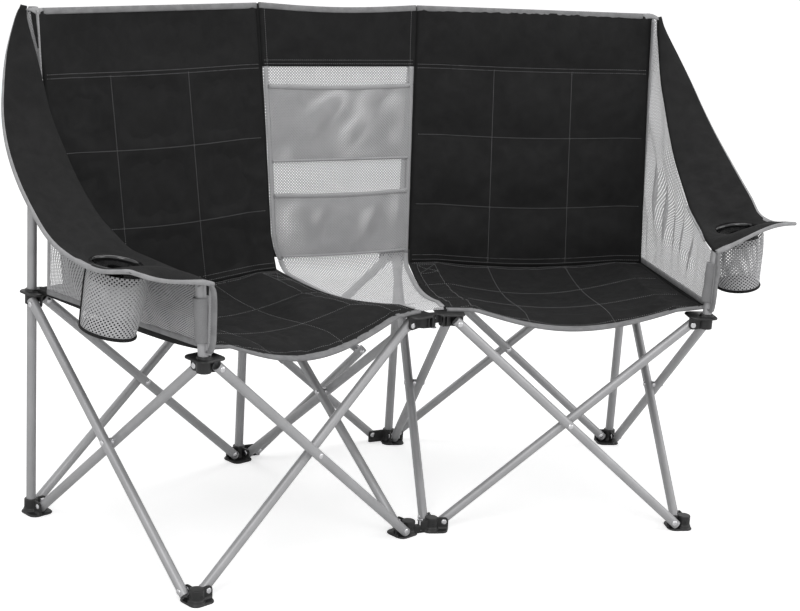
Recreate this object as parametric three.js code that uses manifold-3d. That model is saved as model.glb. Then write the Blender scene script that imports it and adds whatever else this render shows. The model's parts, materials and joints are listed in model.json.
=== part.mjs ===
// Folding camping loveseat: two chair frames of crossed tubes, joined at the front and at the rear,
// with two quilted seats, two quilted backs, a mesh middle panel and two arms with cup pouches.
// Millimetres, +Z up, -Y is the front. The origin lies on the floor under the middle of the object.
import * as THREE from "three";
import { mergeVertices } from "three/addons/utils/BufferGeometryUtils.js";
import Module from "manifold-3d";

// Frame layout
const cornerSpacing = 515; // between the corner axes along each edge of a chair
const toeInAngle = THREE.MathUtils.degToRad(17.5); // each chair turns its front towards the middle
const middleGap = 50; // between the corner axes of the two front inner corners
const pivotReach = 25; // from a corner axis to the tube pivots beside it
const footPivotHeight = 18;
const hubPivotHeight = 422;
const backHeight = 966; // top edge of the backs
const armHeight = 571; // middle of the arm fabric at the arm post

// Tubes, rivets and clearances
const tubeRadius = 9;
const tubeWall = 1;
const tubeEndReach = 10; // tube beyond the centre of its end rivets
const seatingGap = 0.4; // between pieces that touch
const slidingGap = 0.5; // between a pole and what runs on it
const fabricGap = 1.1; // between a fabric edge and what it is sewn or laid beside
const rivetRadius = 3;
const rivetPlay = 0.6; // hole radius beyond the rivet or pin in it
const rivetHeadRadius = 5.5;
const rivetHeadHeight = 1.6;
const wallBite = 0.8; // how deep a rivet or washer sits in the tube wall
const washerRadius = 6.5; // washer between two crossing tubes
const poleTopInset = 3; // pole top under the top of its sleeve
const cutReach = 5; // how far a cutting solid runs past what it cuts

// Feet, hubs and hinges
const earThickness = 4;
const earMargin = 9; // ear around its rivet hole
const footPlateSize = 50;
const hubPlateSize = 56;
const plateCornerRadius = 14;
const plateShift = 8; // plate centre from the corner axis, towards each of its two ears
const footPlateThickness = 4;
const footSocketRadius = 13;
const footSocketHeight = 28;
const socketFloor = 4;
const hubPlateThickness = 4;
const hubPlateRise = 15; // underside of the hub plate above the pivots
const hubCollarRadius = 12.8;
const hubCollarRise = 4; // collar above the hub plate
const hubCollarDrop = 6; // collar below the pivots
const hingeEyeRadius = 10;
const hingeEyeHeight = 8.6;
const hingePinRadius = 4;
const hingePinHeadRadius = 6;
const hingePinHeadHeight = 1.8;
const hubHingeDrop = 8; // lowest face of the hub hinge below the hub pivots

// Seats and backs
const seamThickness = 4; // padded fabric on a stitch line
const quiltCrown = 7; // extra thickness in the middle of a quilted cell
const bandCrown = 2.5; // extra thickness in the middle of the plain top band
const seatInset = 2.2; // seat and back edges inside the planes of the corner axes
const seatSag = 30;
const seatFrontSag = 40;
const seatInnerSag = 24;
const seatFrontLift = 14; // front outer seat corner, tied up to the arm post
const seatFrontPull = 18; // front edge drawn back at its middle
const backLean = 104; // rear face of the back forward of the pole axes at its foot
const backTopOffset = 6; // and at its top
const sleeveWall = 2;
const poleSleeveLength = 128;
const gussetThickness = 1.6;

// Middle panel and pockets
const middlePanelThickness = 3;
const middleTopOffset = 14; // top of the panel forward of the pole axes
const middleBend = 70; // how far the bend between back and seat reaches
const middleTipInset = 12; // front end of the panel behind the front corner axes
const middleSag = 14;
const pocketThickness = 1.6;

// Arms, side meshes and cup holders
const armThickness = 5;
const armWidth = 160; // of the arm rest, from the plane of the outer edge
const armFrontCrown = 12; // how far the arm rest bulges up in front of the cup holder
const sideMeshThickness = 2;
const sideMeshHeel = 56; // foot of the side mesh's rear edge in front of the pole axis
const sideMeshLift = 12; // how far its lower edge rises from there to the arm post
const postSleeveRise = 24; // foot of the arm post's sleeve above the hub collar
const postFlapReach = 30; // edge of the flap in front of the arm post, from the post's axis
const postFlapLean = 10; // how far the flap's edge is drawn back at the arm
const cupHoleRadius = 42;
const cupSeatGap = 1.3; // ring and pouch from the middle one of the arm's curved faces
const cupRingFlange = 4.5;
const cupRingFlangeHeight = 2.4;
const cupRingWall = 2;
const cupRingDrop = 8;
const cupPouchRadius = 48;
const cupPouchDepth = 104; // foot of the pouch below its rim
const cupPouchSplay = 14; // foot of the pouch further out than its rim
const cupPouchFootAcross = 40; // half of the pouch's foot across the arm
const cupPouchFootAlong = 54; // and along it
const cupPouchWall = 1.8;

// Shares of the sizes above
const backBandShare = 0.2; // plain band at the top of the back
const flatCornerShare = 1 / 9; // seat edge that lies flat on a hub plate
const middleBackShare = 0.52; // part of the middle panel's length that lies on the back
const middleFrontShare = 0.93; // where its sag ends, behind the front hubs
const middleSeatShares = [0.45, 0.6, 0.75, 0.86, 0.93]; // places along a seat's inner edge, from the rear
const upperPocketShares = [0.155, 0.3]; // top and foot along the middle panel
const lowerPocketShares = [0.365, 0.475];
const pocketMarginShare = 0.04;
const meshHeelShare = 0.42; // part of the side mesh's edge that follows the back
// The arm's two long edges, from the top of the back to the front: along the edge of the chair from
// the rear pole, out from it of the arm's width, and of the rise from the arm post to the back's top.
const armSeamShares = [
  [0.017, 0.106, 0.932],
  [0.072, 0.106, 0.792],
  [0.12, 0.113, 0.666],
  [0.179, 0.138, 0.539],
  [0.258, 0.144, 0.413],
  [0.35, 0.156, 0.286],
  [0.478, 0.169, 0.159],
  [0.571, 0.156, 0.096],
  [0.66, 0.156, 0.051],
  [0.762, 0.11, 0.032],
  [0.864, 0.05, 0.013],
  [0.98, 0, 0],
  [1.04, 0, 0],
];
const armFreeShares = [
  [-0.006, 0.225, 0.932],
  [0.035, 0.413, 0.792],
  [0.089, 0.563, 0.666],
  [0.148, 0.688, 0.539],
  [0.231, 0.794, 0.413],
  [0.346, 0.881, 0.286],
  [0.485, 0.944, 0.159],
  [0.575, 0.975, 0.096],
  [0.66, 0.988, 0.078],
  [0.762, 1, 0.074],
  [0.864, 1.019, 0.071],
  [0.951, 1.031, 0.094],
  [1.016, 1, 0.122],
];
const armPostShare = 11 / 12; // place of the arm post along the two edges
const armCrownShare = 10 / 12; // where the bulge of the arm rest starts
const cupPlaceShares = [0.52, 0.75]; // cup centre across the arm and along its edges

// Facets
const tubeSides = 10;
const rivetSides = 6;
const holeSides = 8;
const cupSides = 20;
const cornerSegments = 1;
const quiltCells = 3; // across a seat or back, and along it
const quiltSteps = 3; // grid steps in a cell
const armSteps = 24; // along the arm's edges
const middleSteps = 22; // along the middle panel
const panelSteps = 4; // across an arm, the middle panel or a pocket
const sideMeshSteps = 2;
const flapSteps = 2;
const weldDistance = 0.001;

// Derived sizes
const edgeSpan = cornerSpacing - 2 * pivotReach;
const frameRise = hubPivotHeight - footPivotHeight;
const tubeLength = Math.hypot(edgeSpan, frameRise);
const tubeOffset = earThickness / 2 + seatingGap + tubeRadius;
const hubPlateTop = hubPivotHeight + hubPlateRise + hubPlateThickness;
const collarTop = hubPlateTop + hubCollarRise;
const sideMeshFoot = collarTop + fabricGap;
const postSleeveFoot = collarTop + postSleeveRise;
const armUnderside = armHeight - armThickness / 2;
const poleTop = backHeight - poleTopInset;
const seatWidth = cornerSpacing - 2 * seatInset;
const seatRearShare = (backLean - seatInset) / seatWidth; // plain strip of the seat behind the back
const footHingeFoot = footPlateThickness + hingePinHeadHeight + 2 * seatingGap;
const hubHingeFoot = hubPivotHeight - hubHingeDrop;
const middlePivotReach = middleGap / 2 + 2 * pivotReach * Math.sin(toeInAngle);

const greySteel = { color: 0x8e9092, roughness: 0.38, metalness: 0.55 };
const rivetSteel = { color: 0xb9bbbd, roughness: 0.25, metalness: 0.95 };
const blackPlastic = { color: 0x17181a, roughness: 0.5, metalness: 0 };
const blackFabric = { color: 0x232325, roughness: 0.9, metalness: 0 };
const lightMesh = { color: 0xc4c5c6, roughness: 0.85, metalness: 0 };
const glossyTrim = { color: 0x141415, roughness: 0.25, metalness: 0 };

const wasm = await Module();
wasm.setup();

// Solids

function toSolid(geometry) {
  const bare = geometry.clone();
  bare.deleteAttribute("normal");
  bare.deleteAttribute("uv");
  const merged = mergeVertices(bare, weldDistance);
  const corners = merged.index.array;
  const triangles = [];
  for (let at = 0; at < corners.length; at += 3) {
    const [a, b, c] = corners.subarray(at, at + 3);
    if (a !== b && b !== c && c !== a) triangles.push(a, b, c);
  }
  const mesh = new wasm.Mesh({
    numProp: 3,
    vertProperties: merged.attributes.position.array,
    triVerts: new Uint32Array(triangles),
  });
  return new wasm.Manifold(mesh);
}

function toGeometry(solid) {
  const { vertProperties, triVerts } = solid.getMesh();
  const geometry = new THREE.BufferGeometry();
  geometry.setAttribute("position", new THREE.BufferAttribute(vertProperties, 3));
  geometry.setIndex(new THREE.BufferAttribute(triVerts, 1));
  geometry.computeVertexNormals();
  return geometry;
}

// One geometry that joins the pieces and takes the cuts out of them.
function join(pieces, cuts = []) {
  let solid = pieces.map(toSolid).reduce((sum, next) => sum.add(next));
  for (const cut of cuts) solid = solid.subtract(toSolid(cut));
  return toGeometry(solid);
}

// Moves a geometry that rises along +Y from the origin onto the line from one point to another.
function alongLine(geometry, from, to) {
  const direction = to.clone().sub(from).normalize();
  const rise = new THREE.Vector3(0, 1, 0);
  geometry.applyQuaternion(new THREE.Quaternion().setFromUnitVectors(rise, direction));
  return geometry.translate(from.x, from.y, from.z);
}

function rod(from, to, radius, sides) {
  const length = from.distanceTo(to);
  const geometry = new THREE.CylinderGeometry(radius, radius, length, sides);
  return alongLine(geometry.translate(0, length / 2, 0), from, to);
}

function upright(x, y, low, high, radius, sides = tubeSides) {
  return rod(new THREE.Vector3(x, y, low), new THREE.Vector3(x, y, high), radius, sides);
}

// A round piece from a profile of [radius, height] pairs, about the line from one point to another.
function turned(profile, from, to, sides) {
  const points = profile.map(([radius, height]) => new THREE.Vector2(radius, height));
  return alongLine(new THREE.LatheGeometry(points, sides), from, to);
}

function pipe(from, to, radius, wall, sides) {
  const length = from.distanceTo(to);
  const bore = radius - wall;
  const profile = [
    [bore, 0],
    [radius, 0],
    [radius, length],
    [bore, length],
    [bore, 0],
  ];
  return turned(profile, from, to, sides);
}

function roundedPlate(centre, low, size, thickness) {
  const inner = size / 2 - plateCornerRadius;
  const outline = new THREE.Shape();
  outline.absarc(inner, inner, plateCornerRadius, 0, Math.PI / 2, false);
  outline.absarc(-inner, inner, plateCornerRadius, Math.PI / 2, Math.PI, false);
  outline.absarc(-inner, -inner, plateCornerRadius, Math.PI, 1.5 * Math.PI, false);
  outline.absarc(inner, -inner, plateCornerRadius, 1.5 * Math.PI, 2 * Math.PI, false);
  const options = { depth: thickness, bevelEnabled: false, curveSegments: cornerSegments };
  return new THREE.ExtrudeGeometry(outline, options).translate(centre.x, centre.y, low);
}

// An upright plate from an outline of x and z, centred on the X-Z plane and then turned about Z.
function wallPlate(outline, thickness, angle) {
  const options = { depth: thickness, bevelEnabled: false, curveSegments: cornerSegments };
  const plate = new THREE.ExtrudeGeometry(outline, options).translate(0, 0, -thickness / 2);
  return plate.rotateX(Math.PI / 2).rotateZ(angle);
}

function evenShares(count) {
  return Array.from({ length: count + 1 }, (_, step) => step / count);
}

// A closed solid on a grid over the surface point(u, v). The share underneath tells how much of the
// thickness lies against the surface's normal, which is the cross product of its u and v directions.
function sheet(point, thickness, uShares, vShares, underneath = 0.5) {
  const stepShare = 0.001;
  const front = [];
  const rear = [];
  for (const v of vShares) {
    for (const u of uShares) {
      const alongU = point(u + stepShare, v).sub(point(u - stepShare, v));
      const alongV = point(u, v + stepShare).sub(point(u, v - stepShare));
      const normal = alongU.cross(alongV).normalize();
      const depth = thickness(u, v);
      front.push(point(u, v).addScaledVector(normal, depth * (1 - underneath)));
      rear.push(point(u, v).addScaledVector(normal, -depth * underneath));
    }
  }
  const columns = uShares.length;
  const rows = vShares.length;
  const index = [];
  const quad = (a, b, c, d) => index.push(a, b, c, a, c, d);
  const under = columns * rows;
  for (let row = 0; row + 1 < rows; row++) {
    const left = row * columns;
    const right = left + columns - 1;
    quad(left, left + columns, under + left + columns, under + left);
    quad(right, under + right, under + right + columns, right + columns);
    for (let a = left; a < right; a++) {
      quad(a, a + 1, a + columns + 1, a + columns);
      quad(under + a, under + a + columns, under + a + columns + 1, under + a + 1);
    }
  }
  const last = (rows - 1) * columns;
  for (let a = 0; a + 1 < columns; a++) {
    const b = last + a;
    quad(a, under + a, under + a + 1, a + 1);
    quad(b, b + 1, under + b + 1, under + b);
  }
  const geometry = new THREE.BufferGeometry().setFromPoints([...front, ...rear]);
  geometry.setIndex(index);
  geometry.computeVertexNormals();
  return geometry;
}

function named(name, geometry, finish) {
  const mesh = new THREE.Mesh(geometry, new THREE.MeshStandardMaterial(finish));
  mesh.name = name;
  return mesh;
}

// Frame tubes

// A tube beside the X-Z plane of its edge: side is 1 for the outside of the chair and -1 for the inside.
// Ends are its two outermost pivots, ears the pivots where it is riveted to a plastic ear, and joints
// the pivots that it shares with another tube, whose rivets it carries or has holes for.
function frameTube({ ends, ears, joints, side, carries }) {
  const offset = side * tubeOffset;
  const place = (at, y) => new THREE.Vector3(at.x, y, at.y);
  const across = (at, near, far, radius, sides = rivetSides) =>
    rod(place(at, near), place(at, far), radius, sides);
  const [low, high] = ends.map((at) => place(at, offset));
  const overhang = high.clone().sub(low).setLength(tubeEndReach);
  const pieces = [pipe(low.sub(overhang), high.add(overhang), tubeRadius, tubeWall, tubeSides)];
  const cuts = [];
  const inWall = tubeRadius - wallBite;
  const rivet = (at, farFace) => {
    const farTop = farFace - side * rivetHeadHeight;
    pieces.push(across(at, offset - side * inWall, farTop, rivetRadius));
    pieces.push(across(at, farFace, farTop, rivetHeadRadius));
  };
  for (const at of ears) rivet(at, -side * (earThickness / 2 + seatingGap));
  for (const at of joints) {
    if (carries) {
      rivet(at, -side * (tubeOffset + tubeRadius + seatingGap));
      const washerFace = -side * (tubeOffset - tubeRadius - seatingGap);
      pieces.push(across(at, offset - side * inWall, washerFace, washerRadius));
    } else {
      const reach = tubeRadius + cutReach;
      cuts.push(across(at, offset - reach, offset + reach, rivetRadius + rivetPlay, holeSides));
    }
  }
  return join(pieces, cuts);
}

// The two crossed tubes of an edge that runs along +X from a corner axis at x = 0.
function edgeTubes(name) {
  const [near, far] = [pivotReach, cornerSpacing - pivotReach];
  const crossing = new THREE.Vector2(cornerSpacing / 2, footPivotHeight + frameRise / 2);
  const tube = (lowX, highX, side) => {
    const ends = [new THREE.Vector2(lowX, footPivotHeight), new THREE.Vector2(highX, hubPivotHeight)];
    return frameTube({ ends, ears: ends, joints: [crossing], side, carries: side > 0 });
  };
  return [
    named(`${name}_outside_tube`, tube(near, far, 1), greySteel),
    named(`${name}_inside_tube`, tube(far, near, -1), greySteel),
  ];
}

// The two-level scissor between the rear inner corners. Its long arms reach from the corner pivots to
// the crossings, and its short arms from the crossings to the side pivots half way up.
function middleScissor() {
  const longArm = tubeLength * Math.sin(toeInAngle);
  const shortArm = tubeLength / 2 - longArm;
  const spanShare = edgeSpan / tubeLength;
  const riseShare = frameRise / tubeLength;
  const low = (x) => new THREE.Vector2(x * longArm * spanShare, footPivotHeight);
  const high = (x) => new THREE.Vector2(x * longArm * spanShare, hubPivotHeight);
  const mid = (x) => new THREE.Vector2(x * shortArm * spanShare, footPivotHeight + frameRise / 2);
  const lowerCrossing = new THREE.Vector2(0, footPivotHeight + longArm * riseShare);
  const upperCrossing = new THREE.Vector2(0, hubPivotHeight - longArm * riseShare);
  const tube = (foot, top, ear, joints, side) =>
    frameTube({ ends: [foot, top], ears: [ear], joints, side, carries: side < 0 });
  const tubes = {
    middle_lower_front_tube: tube(low(-1), mid(1), low(-1), [lowerCrossing, mid(1)], -1),
    middle_lower_rear_tube: tube(low(1), mid(-1), low(1), [lowerCrossing, mid(-1)], 1),
    middle_upper_front_tube: tube(mid(-1), high(1), high(1), [upperCrossing, mid(-1)], -1),
    middle_upper_rear_tube: tube(mid(1), high(-1), high(-1), [upperCrossing, mid(1)], 1),
  };
  const group = new THREE.Group();
  group.position.y = cornerSpacing * Math.cos(toeInAngle);
  for (const [name, geometry] of Object.entries(tubes)) group.add(named(name, geometry, greySteel));
  return group;
}

// Feet and hubs about a corner axis, with an ear for each { angle, reach } towards a tube pivot

function rivetHole(x, z) {
  const rim = evenShares(holeSides).slice(1).map((share) => {
    const angle = share * 2 * Math.PI;
    const radius = rivetRadius + rivetPlay;
    return new THREE.Vector2(x + radius * Math.cos(angle), z + radius * Math.sin(angle));
  });
  return new THREE.Path(rim);
}

function footEar({ angle, reach }) {
  const outline = new THREE.Shape();
  outline.moveTo(0, 0);
  outline.lineTo(reach + earMargin, 0);
  outline.absarc(reach, footPivotHeight, earMargin, 0, Math.PI / 2, false);
  outline.lineTo(0, footPivotHeight + earMargin);
  outline.holes.push(rivetHole(reach, footPivotHeight));
  return wallPlate(outline, earThickness, angle);
}

function hubEar({ angle, reach }) {
  const outline = new THREE.Shape();
  outline.moveTo(0, hubPivotHeight - hubCollarDrop);
  outline.absarc(reach, hubPivotHeight, earMargin, 1.5 * Math.PI, 2 * Math.PI, false);
  outline.lineTo(reach + earMargin, hubPivotHeight + hubPlateRise);
  outline.lineTo(0, hubPivotHeight + hubPlateRise);
  outline.holes.push(rivetHole(reach, hubPivotHeight));
  return wallPlate(outline, earThickness, angle);
}

function plateCentre(ears) {
  const towards = ({ angle }) => new THREE.Vector2(Math.cos(angle), Math.sin(angle));
  return towards(ears[0]).add(towards(ears[1])).multiplyScalar(plateShift);
}

// One half of a pin hinge, on an arm from the corner axis along the given angle.
function hingeHalf(angle, low) {
  const reach = middleGap / 2;
  const arm = new THREE.BoxGeometry(reach, hingeEyeRadius, hingeEyeHeight);
  arm.translate(reach / 2, 0, low + hingeEyeHeight / 2).rotateZ(angle);
  const [x, y] = [reach * Math.cos(angle), reach * Math.sin(angle)];
  const eye = upright(x, y, low, low + hingeEyeHeight, hingeEyeRadius);
  const boreRadius = hingePinRadius + rivetPlay;
  const bore = upright(x, y, low - cutReach, low + hingeEyeHeight + cutReach, boreRadius);
  return { pieces: [arm, eye], cuts: [bore] };
}

const noHinge = { pieces: [], cuts: [] };

function foot(ears, hinge) {
  const pieces = [
    roundedPlate(plateCentre(ears), 0, footPlateSize, footPlateThickness),
    upright(0, 0, 0, footSocketHeight, footSocketRadius),
    ...ears.map(footEar),
    ...hinge.pieces,
  ];
  const socket = upright(0, 0, socketFloor, footSocketHeight + cutReach, tubeRadius + slidingGap);
  return join(pieces, [socket, ...hinge.cuts]);
}

function hub(ears, hinge, isBored) {
  const low = hubPivotHeight - hubCollarDrop;
  const high = isBored ? collarTop : hubPlateTop;
  const pieces = [
    roundedPlate(plateCentre(ears), hubPivotHeight + hubPlateRise, hubPlateSize, hubPlateThickness),
    upright(0, 0, low, high, hubCollarRadius),
    ...ears.map(hubEar),
    ...hinge.pieces,
  ];
  const bore = upright(0, 0, low - cutReach, high + cutReach, tubeRadius + slidingGap);
  return join(pieces, isBored ? [bore, ...hinge.cuts] : hinge.cuts);
}

function hingePins() {
  const eyes = 2 * (hingeEyeHeight + seatingGap);
  const pin = (foot) => {
    const low = foot - seatingGap;
    const high = foot + eyes;
    const shank = upright(0, 0, low - hingePinHeadHeight, high + hingePinHeadHeight, hingePinRadius);
    const lowHead = upright(0, 0, low - hingePinHeadHeight, low, hingePinHeadRadius);
    const highHead = upright(0, 0, high, high + hingePinHeadHeight, hingePinHeadRadius);
    return join([shank, lowHead, highHead]);
  };
  return [
    named("foot_hinge_pin", pin(footHingeFoot), rivetSteel),
    named("hub_hinge_pin", pin(hubHingeFoot), rivetSteel),
  ];
}

// Seats and backs, in a chair's own frame: its inner edge at x = 0, its front edge at y = 0

// 0 over the hub plates at both ends of an edge and 1 at its middle.
function sagShare(share) {
  const fromEnd = 0.5 - Math.abs(share - 0.5);
  const run = THREE.MathUtils.clamp((fromEnd - flatCornerShare) / (0.5 - flatCornerShare), 0, 1);
  return Math.sin((run * Math.PI) / 2);
}

// Height of the seat's underside at the shares u, from inner to outer, and v, from rear to front.
function seatUnderside(u, v) {
  const inner = seatInnerSag * sagShare(v) * (1 - u) ** 2;
  const front = seatFrontSag * sagShare(u) * v ** 3;
  const middle = seatSag * sagShare(u) * sagShare(v) * (1 - v ** 3);
  const lift = seatFrontLift * u ** 6 * v ** 6;
  return hubPlateTop + seatingGap + lift - inner - front - middle;
}

// 0 on the stitch lines around a quilted cell and 1 in the cell's middle.
function cellCrown(u, v, columns, rows) {
  const across = Math.abs(Math.sin(u * columns * Math.PI));
  const along = Math.abs(Math.sin(v * rows * Math.PI));
  return Math.sqrt(across * along);
}

function seatThickness(u, v) {
  if (v <= seatRearShare) return seamThickness;
  const row = (v - seatRearShare) / (1 - seatRearShare);
  return seamThickness + quiltCrown * cellCrown(u, row, quiltCells, quiltCells);
}

function seat(outward) {
  const point = (u, v) => {
    const pull = seatFrontPull * sagShare(u) * v ** 6;
    const y = seatInset + pull + (1 - v) * seatWidth;
    return new THREE.Vector3(outward * (seatInset + u * seatWidth), y, seatUnderside(u, v));
  };
  const cells = evenShares(quiltCells * quiltSteps);
  const rows = cells.map((row) => seatRearShare + row * (1 - seatRearShare));
  const pad = sheet(point, seatThickness, cells, [0, seatRearShare / 2, ...rows], outward > 0 ? 1 : 0);
  const high = collarTop + seatFrontLift + seamThickness + cutReach;
  const collars = [
    [0, cornerSpacing],
    [outward * cornerSpacing, cornerSpacing],
    [outward * cornerSpacing, 0],
  ];
  const notches = collars.map(([x, y]) => upright(x, y, hubPivotHeight, high, hubCollarRadius + fabricGap));
  return join([pad], notches);
}

// Distance of the back's rear face in front of the pole axes, at a share of the back's height.
function backOffset(share) {
  return THREE.MathUtils.lerp(backLean, backTopOffset, share);
}

function backFoot(u) {
  return seatUnderside(u, seatRearShare) + seamThickness + seatingGap;
}

function backThickness(u, v) {
  const quiltShare = 1 - backBandShare;
  const quilt = quiltCrown * cellCrown(u, v / quiltShare, quiltCells, quiltCells);
  const band = bandCrown * cellCrown(u, (v - quiltShare) / backBandShare, 1, 1);
  return seamThickness + (v < quiltShare ? quilt : band);
}

// The strip of fabric that ties the sleeve of a pole to the edge of the leaning back.
function sleeveGusset(x, low) {
  const foot = backFoot(0);
  const reach = backOffset((low - foot) / (backHeight - foot)) + seamThickness / 2;
  const outline = new THREE.Shape();
  outline.moveTo(0, low);
  outline.lineTo(reach, low);
  outline.lineTo(backTopOffset + seamThickness / 2, backHeight);
  outline.lineTo(0, backHeight);
  return wallPlate(outline, gussetThickness, -Math.PI / 2).translate(x, cornerSpacing, 0);
}

function back(outward) {
  const point = (u, v) => {
    const z = THREE.MathUtils.lerp(backFoot(u), backHeight, v);
    return new THREE.Vector3(outward * (seatInset + u * seatWidth), cornerSpacing - backOffset(v), z);
  };
  const cells = evenShares(quiltCells * quiltSteps);
  const quilt = cells.map((row) => row * (1 - backBandShare));
  const band = evenShares(quiltSteps).map((row) => 1 - backBandShare + row * backBandShare);
  const rows = [...quilt, ...band.slice(1)];
  const pieces = [sheet(point, backThickness, cells, rows, outward > 0 ? 0 : 1)];
  const cuts = [];
  const low = backHeight - poleSleeveLength;
  for (const share of [0, 1]) {
    const x = outward * share * cornerSpacing;
    const bore = tubeRadius + slidingGap;
    pieces.push(upright(x, cornerSpacing, low, backHeight, bore + sleeveWall));
    pieces.push(sleeveGusset(outward * (seatInset + share * seatWidth), low));
    cuts.push(upright(x, cornerSpacing, low - cutReach, poleTop + seatingGap, bore));
  }
  return join(pieces, cuts);
}

// Arms, side meshes and cup holders, on the outer edge of a chair

// along runs forward from the rear pole, out runs away from the chair.
function outerPoint(outward, along, out, height) {
  return new THREE.Vector3(outward * (cornerSpacing + out), cornerSpacing - along, height);
}

// A smooth long edge of the arm, as [along, out, height] at a share of its rows.
function armEdge(rows) {
  const places = rows.map(([along, out, rise]) => {
    const height = THREE.MathUtils.lerp(armHeight, backHeight, rise);
    return new THREE.Vector3(along * cornerSpacing, out * armWidth, height);
  });
  return new THREE.CatmullRomCurve3(places);
}

const armSeam = armEdge(armSeamShares);
const armFree = armEdge(armFreeShares);

// The middle of the arm's fabric, at the shares u, from the seam to the free edge, and v, to the front.
function armPoint(outward, u, v) {
  const at = THREE.MathUtils.clamp(v, 0, 1);
  const place = armSeam.getPoint(at).lerp(armFree.getPoint(at), u);
  const forward = Math.max(at - armCrownShare, 0) / (1 - armCrownShare);
  const crown = armFrontCrown * Math.sin(forward * Math.PI) * Math.sin(u * Math.PI);
  return outerPoint(outward, place.x, place.y, place.z + crown);
}

function arm(outward) {
  const point = (u, v) => armPoint(outward, u, v);
  const panel = sheet(point, () => armThickness, evenShares(panelSteps), evenShares(armSteps));
  const { centre, up } = cupPlace(outward);
  const reach = armThickness + cutReach;
  const [from, to] = [-reach, reach].map((height) => centre.clone().addScaledVector(up, height));
  return join([panel], [rod(from, to, cupHoleRadius, cupSides)]);
}

// The centre of the cup hole in the arm's fabric, and the direction square to the fabric.
function cupPlace(outward) {
  const [u, v] = cupPlaceShares;
  const stepShare = 0.01;
  const centre = armPoint(outward, u, v);
  const across = armPoint(outward, u + stepShare, v).sub(centre);
  const along = armPoint(outward, u, v + stepShare).sub(centre);
  const up = across.cross(along).normalize();
  return { centre, up: up.multiplyScalar(Math.sign(up.z)) };
}

function cupRing(outward) {
  const { centre, up } = cupPlace(outward);
  const bore = cupHoleRadius - seatingGap - cupRingWall;
  const low = armThickness / 2 + cupSeatGap;
  const profile = [
    [bore, -cupRingDrop],
    [bore + cupRingWall, -cupRingDrop],
    [bore + cupRingWall, low],
    [cupHoleRadius + cupRingFlange, low],
    [cupHoleRadius + cupRingFlange, low + cupRingFlangeHeight],
    [bore, low + cupRingFlangeHeight],
    [bore, -cupRingDrop],
  ];
  return turned(profile, centre, centre.clone().add(up), cupSides);
}

// The pouch hangs from a round rim, square to the fabric, to an oval foot.
function cupPouch(outward) {
  const { centre, up } = cupPlace(outward);
  const rim = centre.clone().addScaledVector(up, -armThickness / 2 - cupSeatGap);
  const profile = [
    [0, 0],
    [cupPouchRadius, 0],
    [cupPouchRadius, cupPouchDepth],
    [cupPouchRadius - cupPouchWall, cupPouchDepth],
    [cupPouchRadius - cupPouchWall, cupPouchWall],
    [0, cupPouchWall],
  ];
  const points = profile.map(([radius, height]) => new THREE.Vector2(radius, height));
  const pouch = new THREE.LatheGeometry(points, cupSides);
  const corners = pouch.attributes.position;
  for (let at = 0; at < corners.count; at++) {
    const drop = 1 - corners.getY(at) / cupPouchDepth;
    const across = corners.getX(at) * THREE.MathUtils.lerp(1, cupPouchFootAcross / cupPouchRadius, drop);
    const along = corners.getZ(at) * THREE.MathUtils.lerp(1, cupPouchFootAlong / cupPouchRadius, drop);
    const level = -(up.x * across - up.y * along) / up.z;
    corners.setXYZ(at, across + outward * cupPouchSplay * drop, -along, level - drop * cupPouchDepth);
  }
  return join([pouch.translate(rim.x, rim.y, rim.z)]);
}

// The mesh fills the space between a line from the top of the back down to the seat, the hub's height,
// the arm post and the arm seam, and goes on as a flap in front of the post.
function sideMesh(outward) {
  const rows = evenShares(armSteps).filter((share) => share > 0 && share <= armPostShare);
  const frontReach = cornerSpacing - tubeRadius - slidingGap - sleeveWall / 2;
  const stretch = frontReach / armSeam.getPoint(rows.at(-1)).x;
  const top = armSeam.getPoint(rows[0]).z;
  const backShare = (top - backFoot(1)) / (backHeight - backFoot(1));
  const topReach = backOffset(backShare) + seamThickness / 2;
  const front = sideMeshFoot + sideMeshLift;
  const lower = (at) => {
    const share = (at - rows[0]) / (rows.at(-1) - rows[0]);
    if (share >= meshHeelShare) {
      const forward = (share - meshHeelShare) / (1 - meshHeelShare);
      const height = THREE.MathUtils.lerp(sideMeshFoot, front, forward);
      return new THREE.Vector3(THREE.MathUtils.lerp(sideMeshHeel, frontReach, forward), 0, height);
    }
    const drop = share / meshHeelShare;
    const height = THREE.MathUtils.lerp(top, sideMeshFoot, drop);
    return new THREE.Vector3(THREE.MathUtils.lerp(topReach, sideMeshHeel, drop), 0, height);
  };
  const upper = (at) => {
    const tangent = armSeam.getTangent(at);
    const below = new THREE.Vector3(tangent.z, 0, -tangent.x).normalize();
    const place = armSeam.getPoint(at).addScaledVector(below, armThickness / 2 + fabricGap);
    return place.setX(place.x * stretch);
  };
  const point = (u, at) => {
    const place = lower(at).lerp(upper(at), u);
    return outerPoint(outward, place.x, place.y, place.z);
  };
  const panel = sheet(point, () => sideMeshThickness, evenShares(sideMeshSteps), rows);
  const bore = tubeRadius + slidingGap;
  const axis = (height) => outerPoint(outward, cornerSpacing, 0, height);
  const sleeveTop = armUnderside - seatingGap;
  const sleeve = pipe(axis(postSleeveFoot), axis(sleeveTop), bore + sleeveWall, sleeveWall, tubeSides);
  const flapPoint = (u, v) => {
    const reach = THREE.MathUtils.lerp(bore + sleeveWall / 2, postFlapReach - postFlapLean * v, u);
    const height = THREE.MathUtils.lerp(postSleeveFoot, sleeveTop, v);
    return outerPoint(outward, cornerSpacing + reach, 0, height);
  };
  const flap = sheet(flapPoint, () => sideMeshThickness, evenShares(flapSteps), evenShares(flapSteps));
  const room = rod(axis(postSleeveFoot), axis(sleeveTop), bore, tubeSides);
  return join([panel, sleeve, flap], [room]);
}

// Middle panel and pockets, in the frame of the whole object

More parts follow.
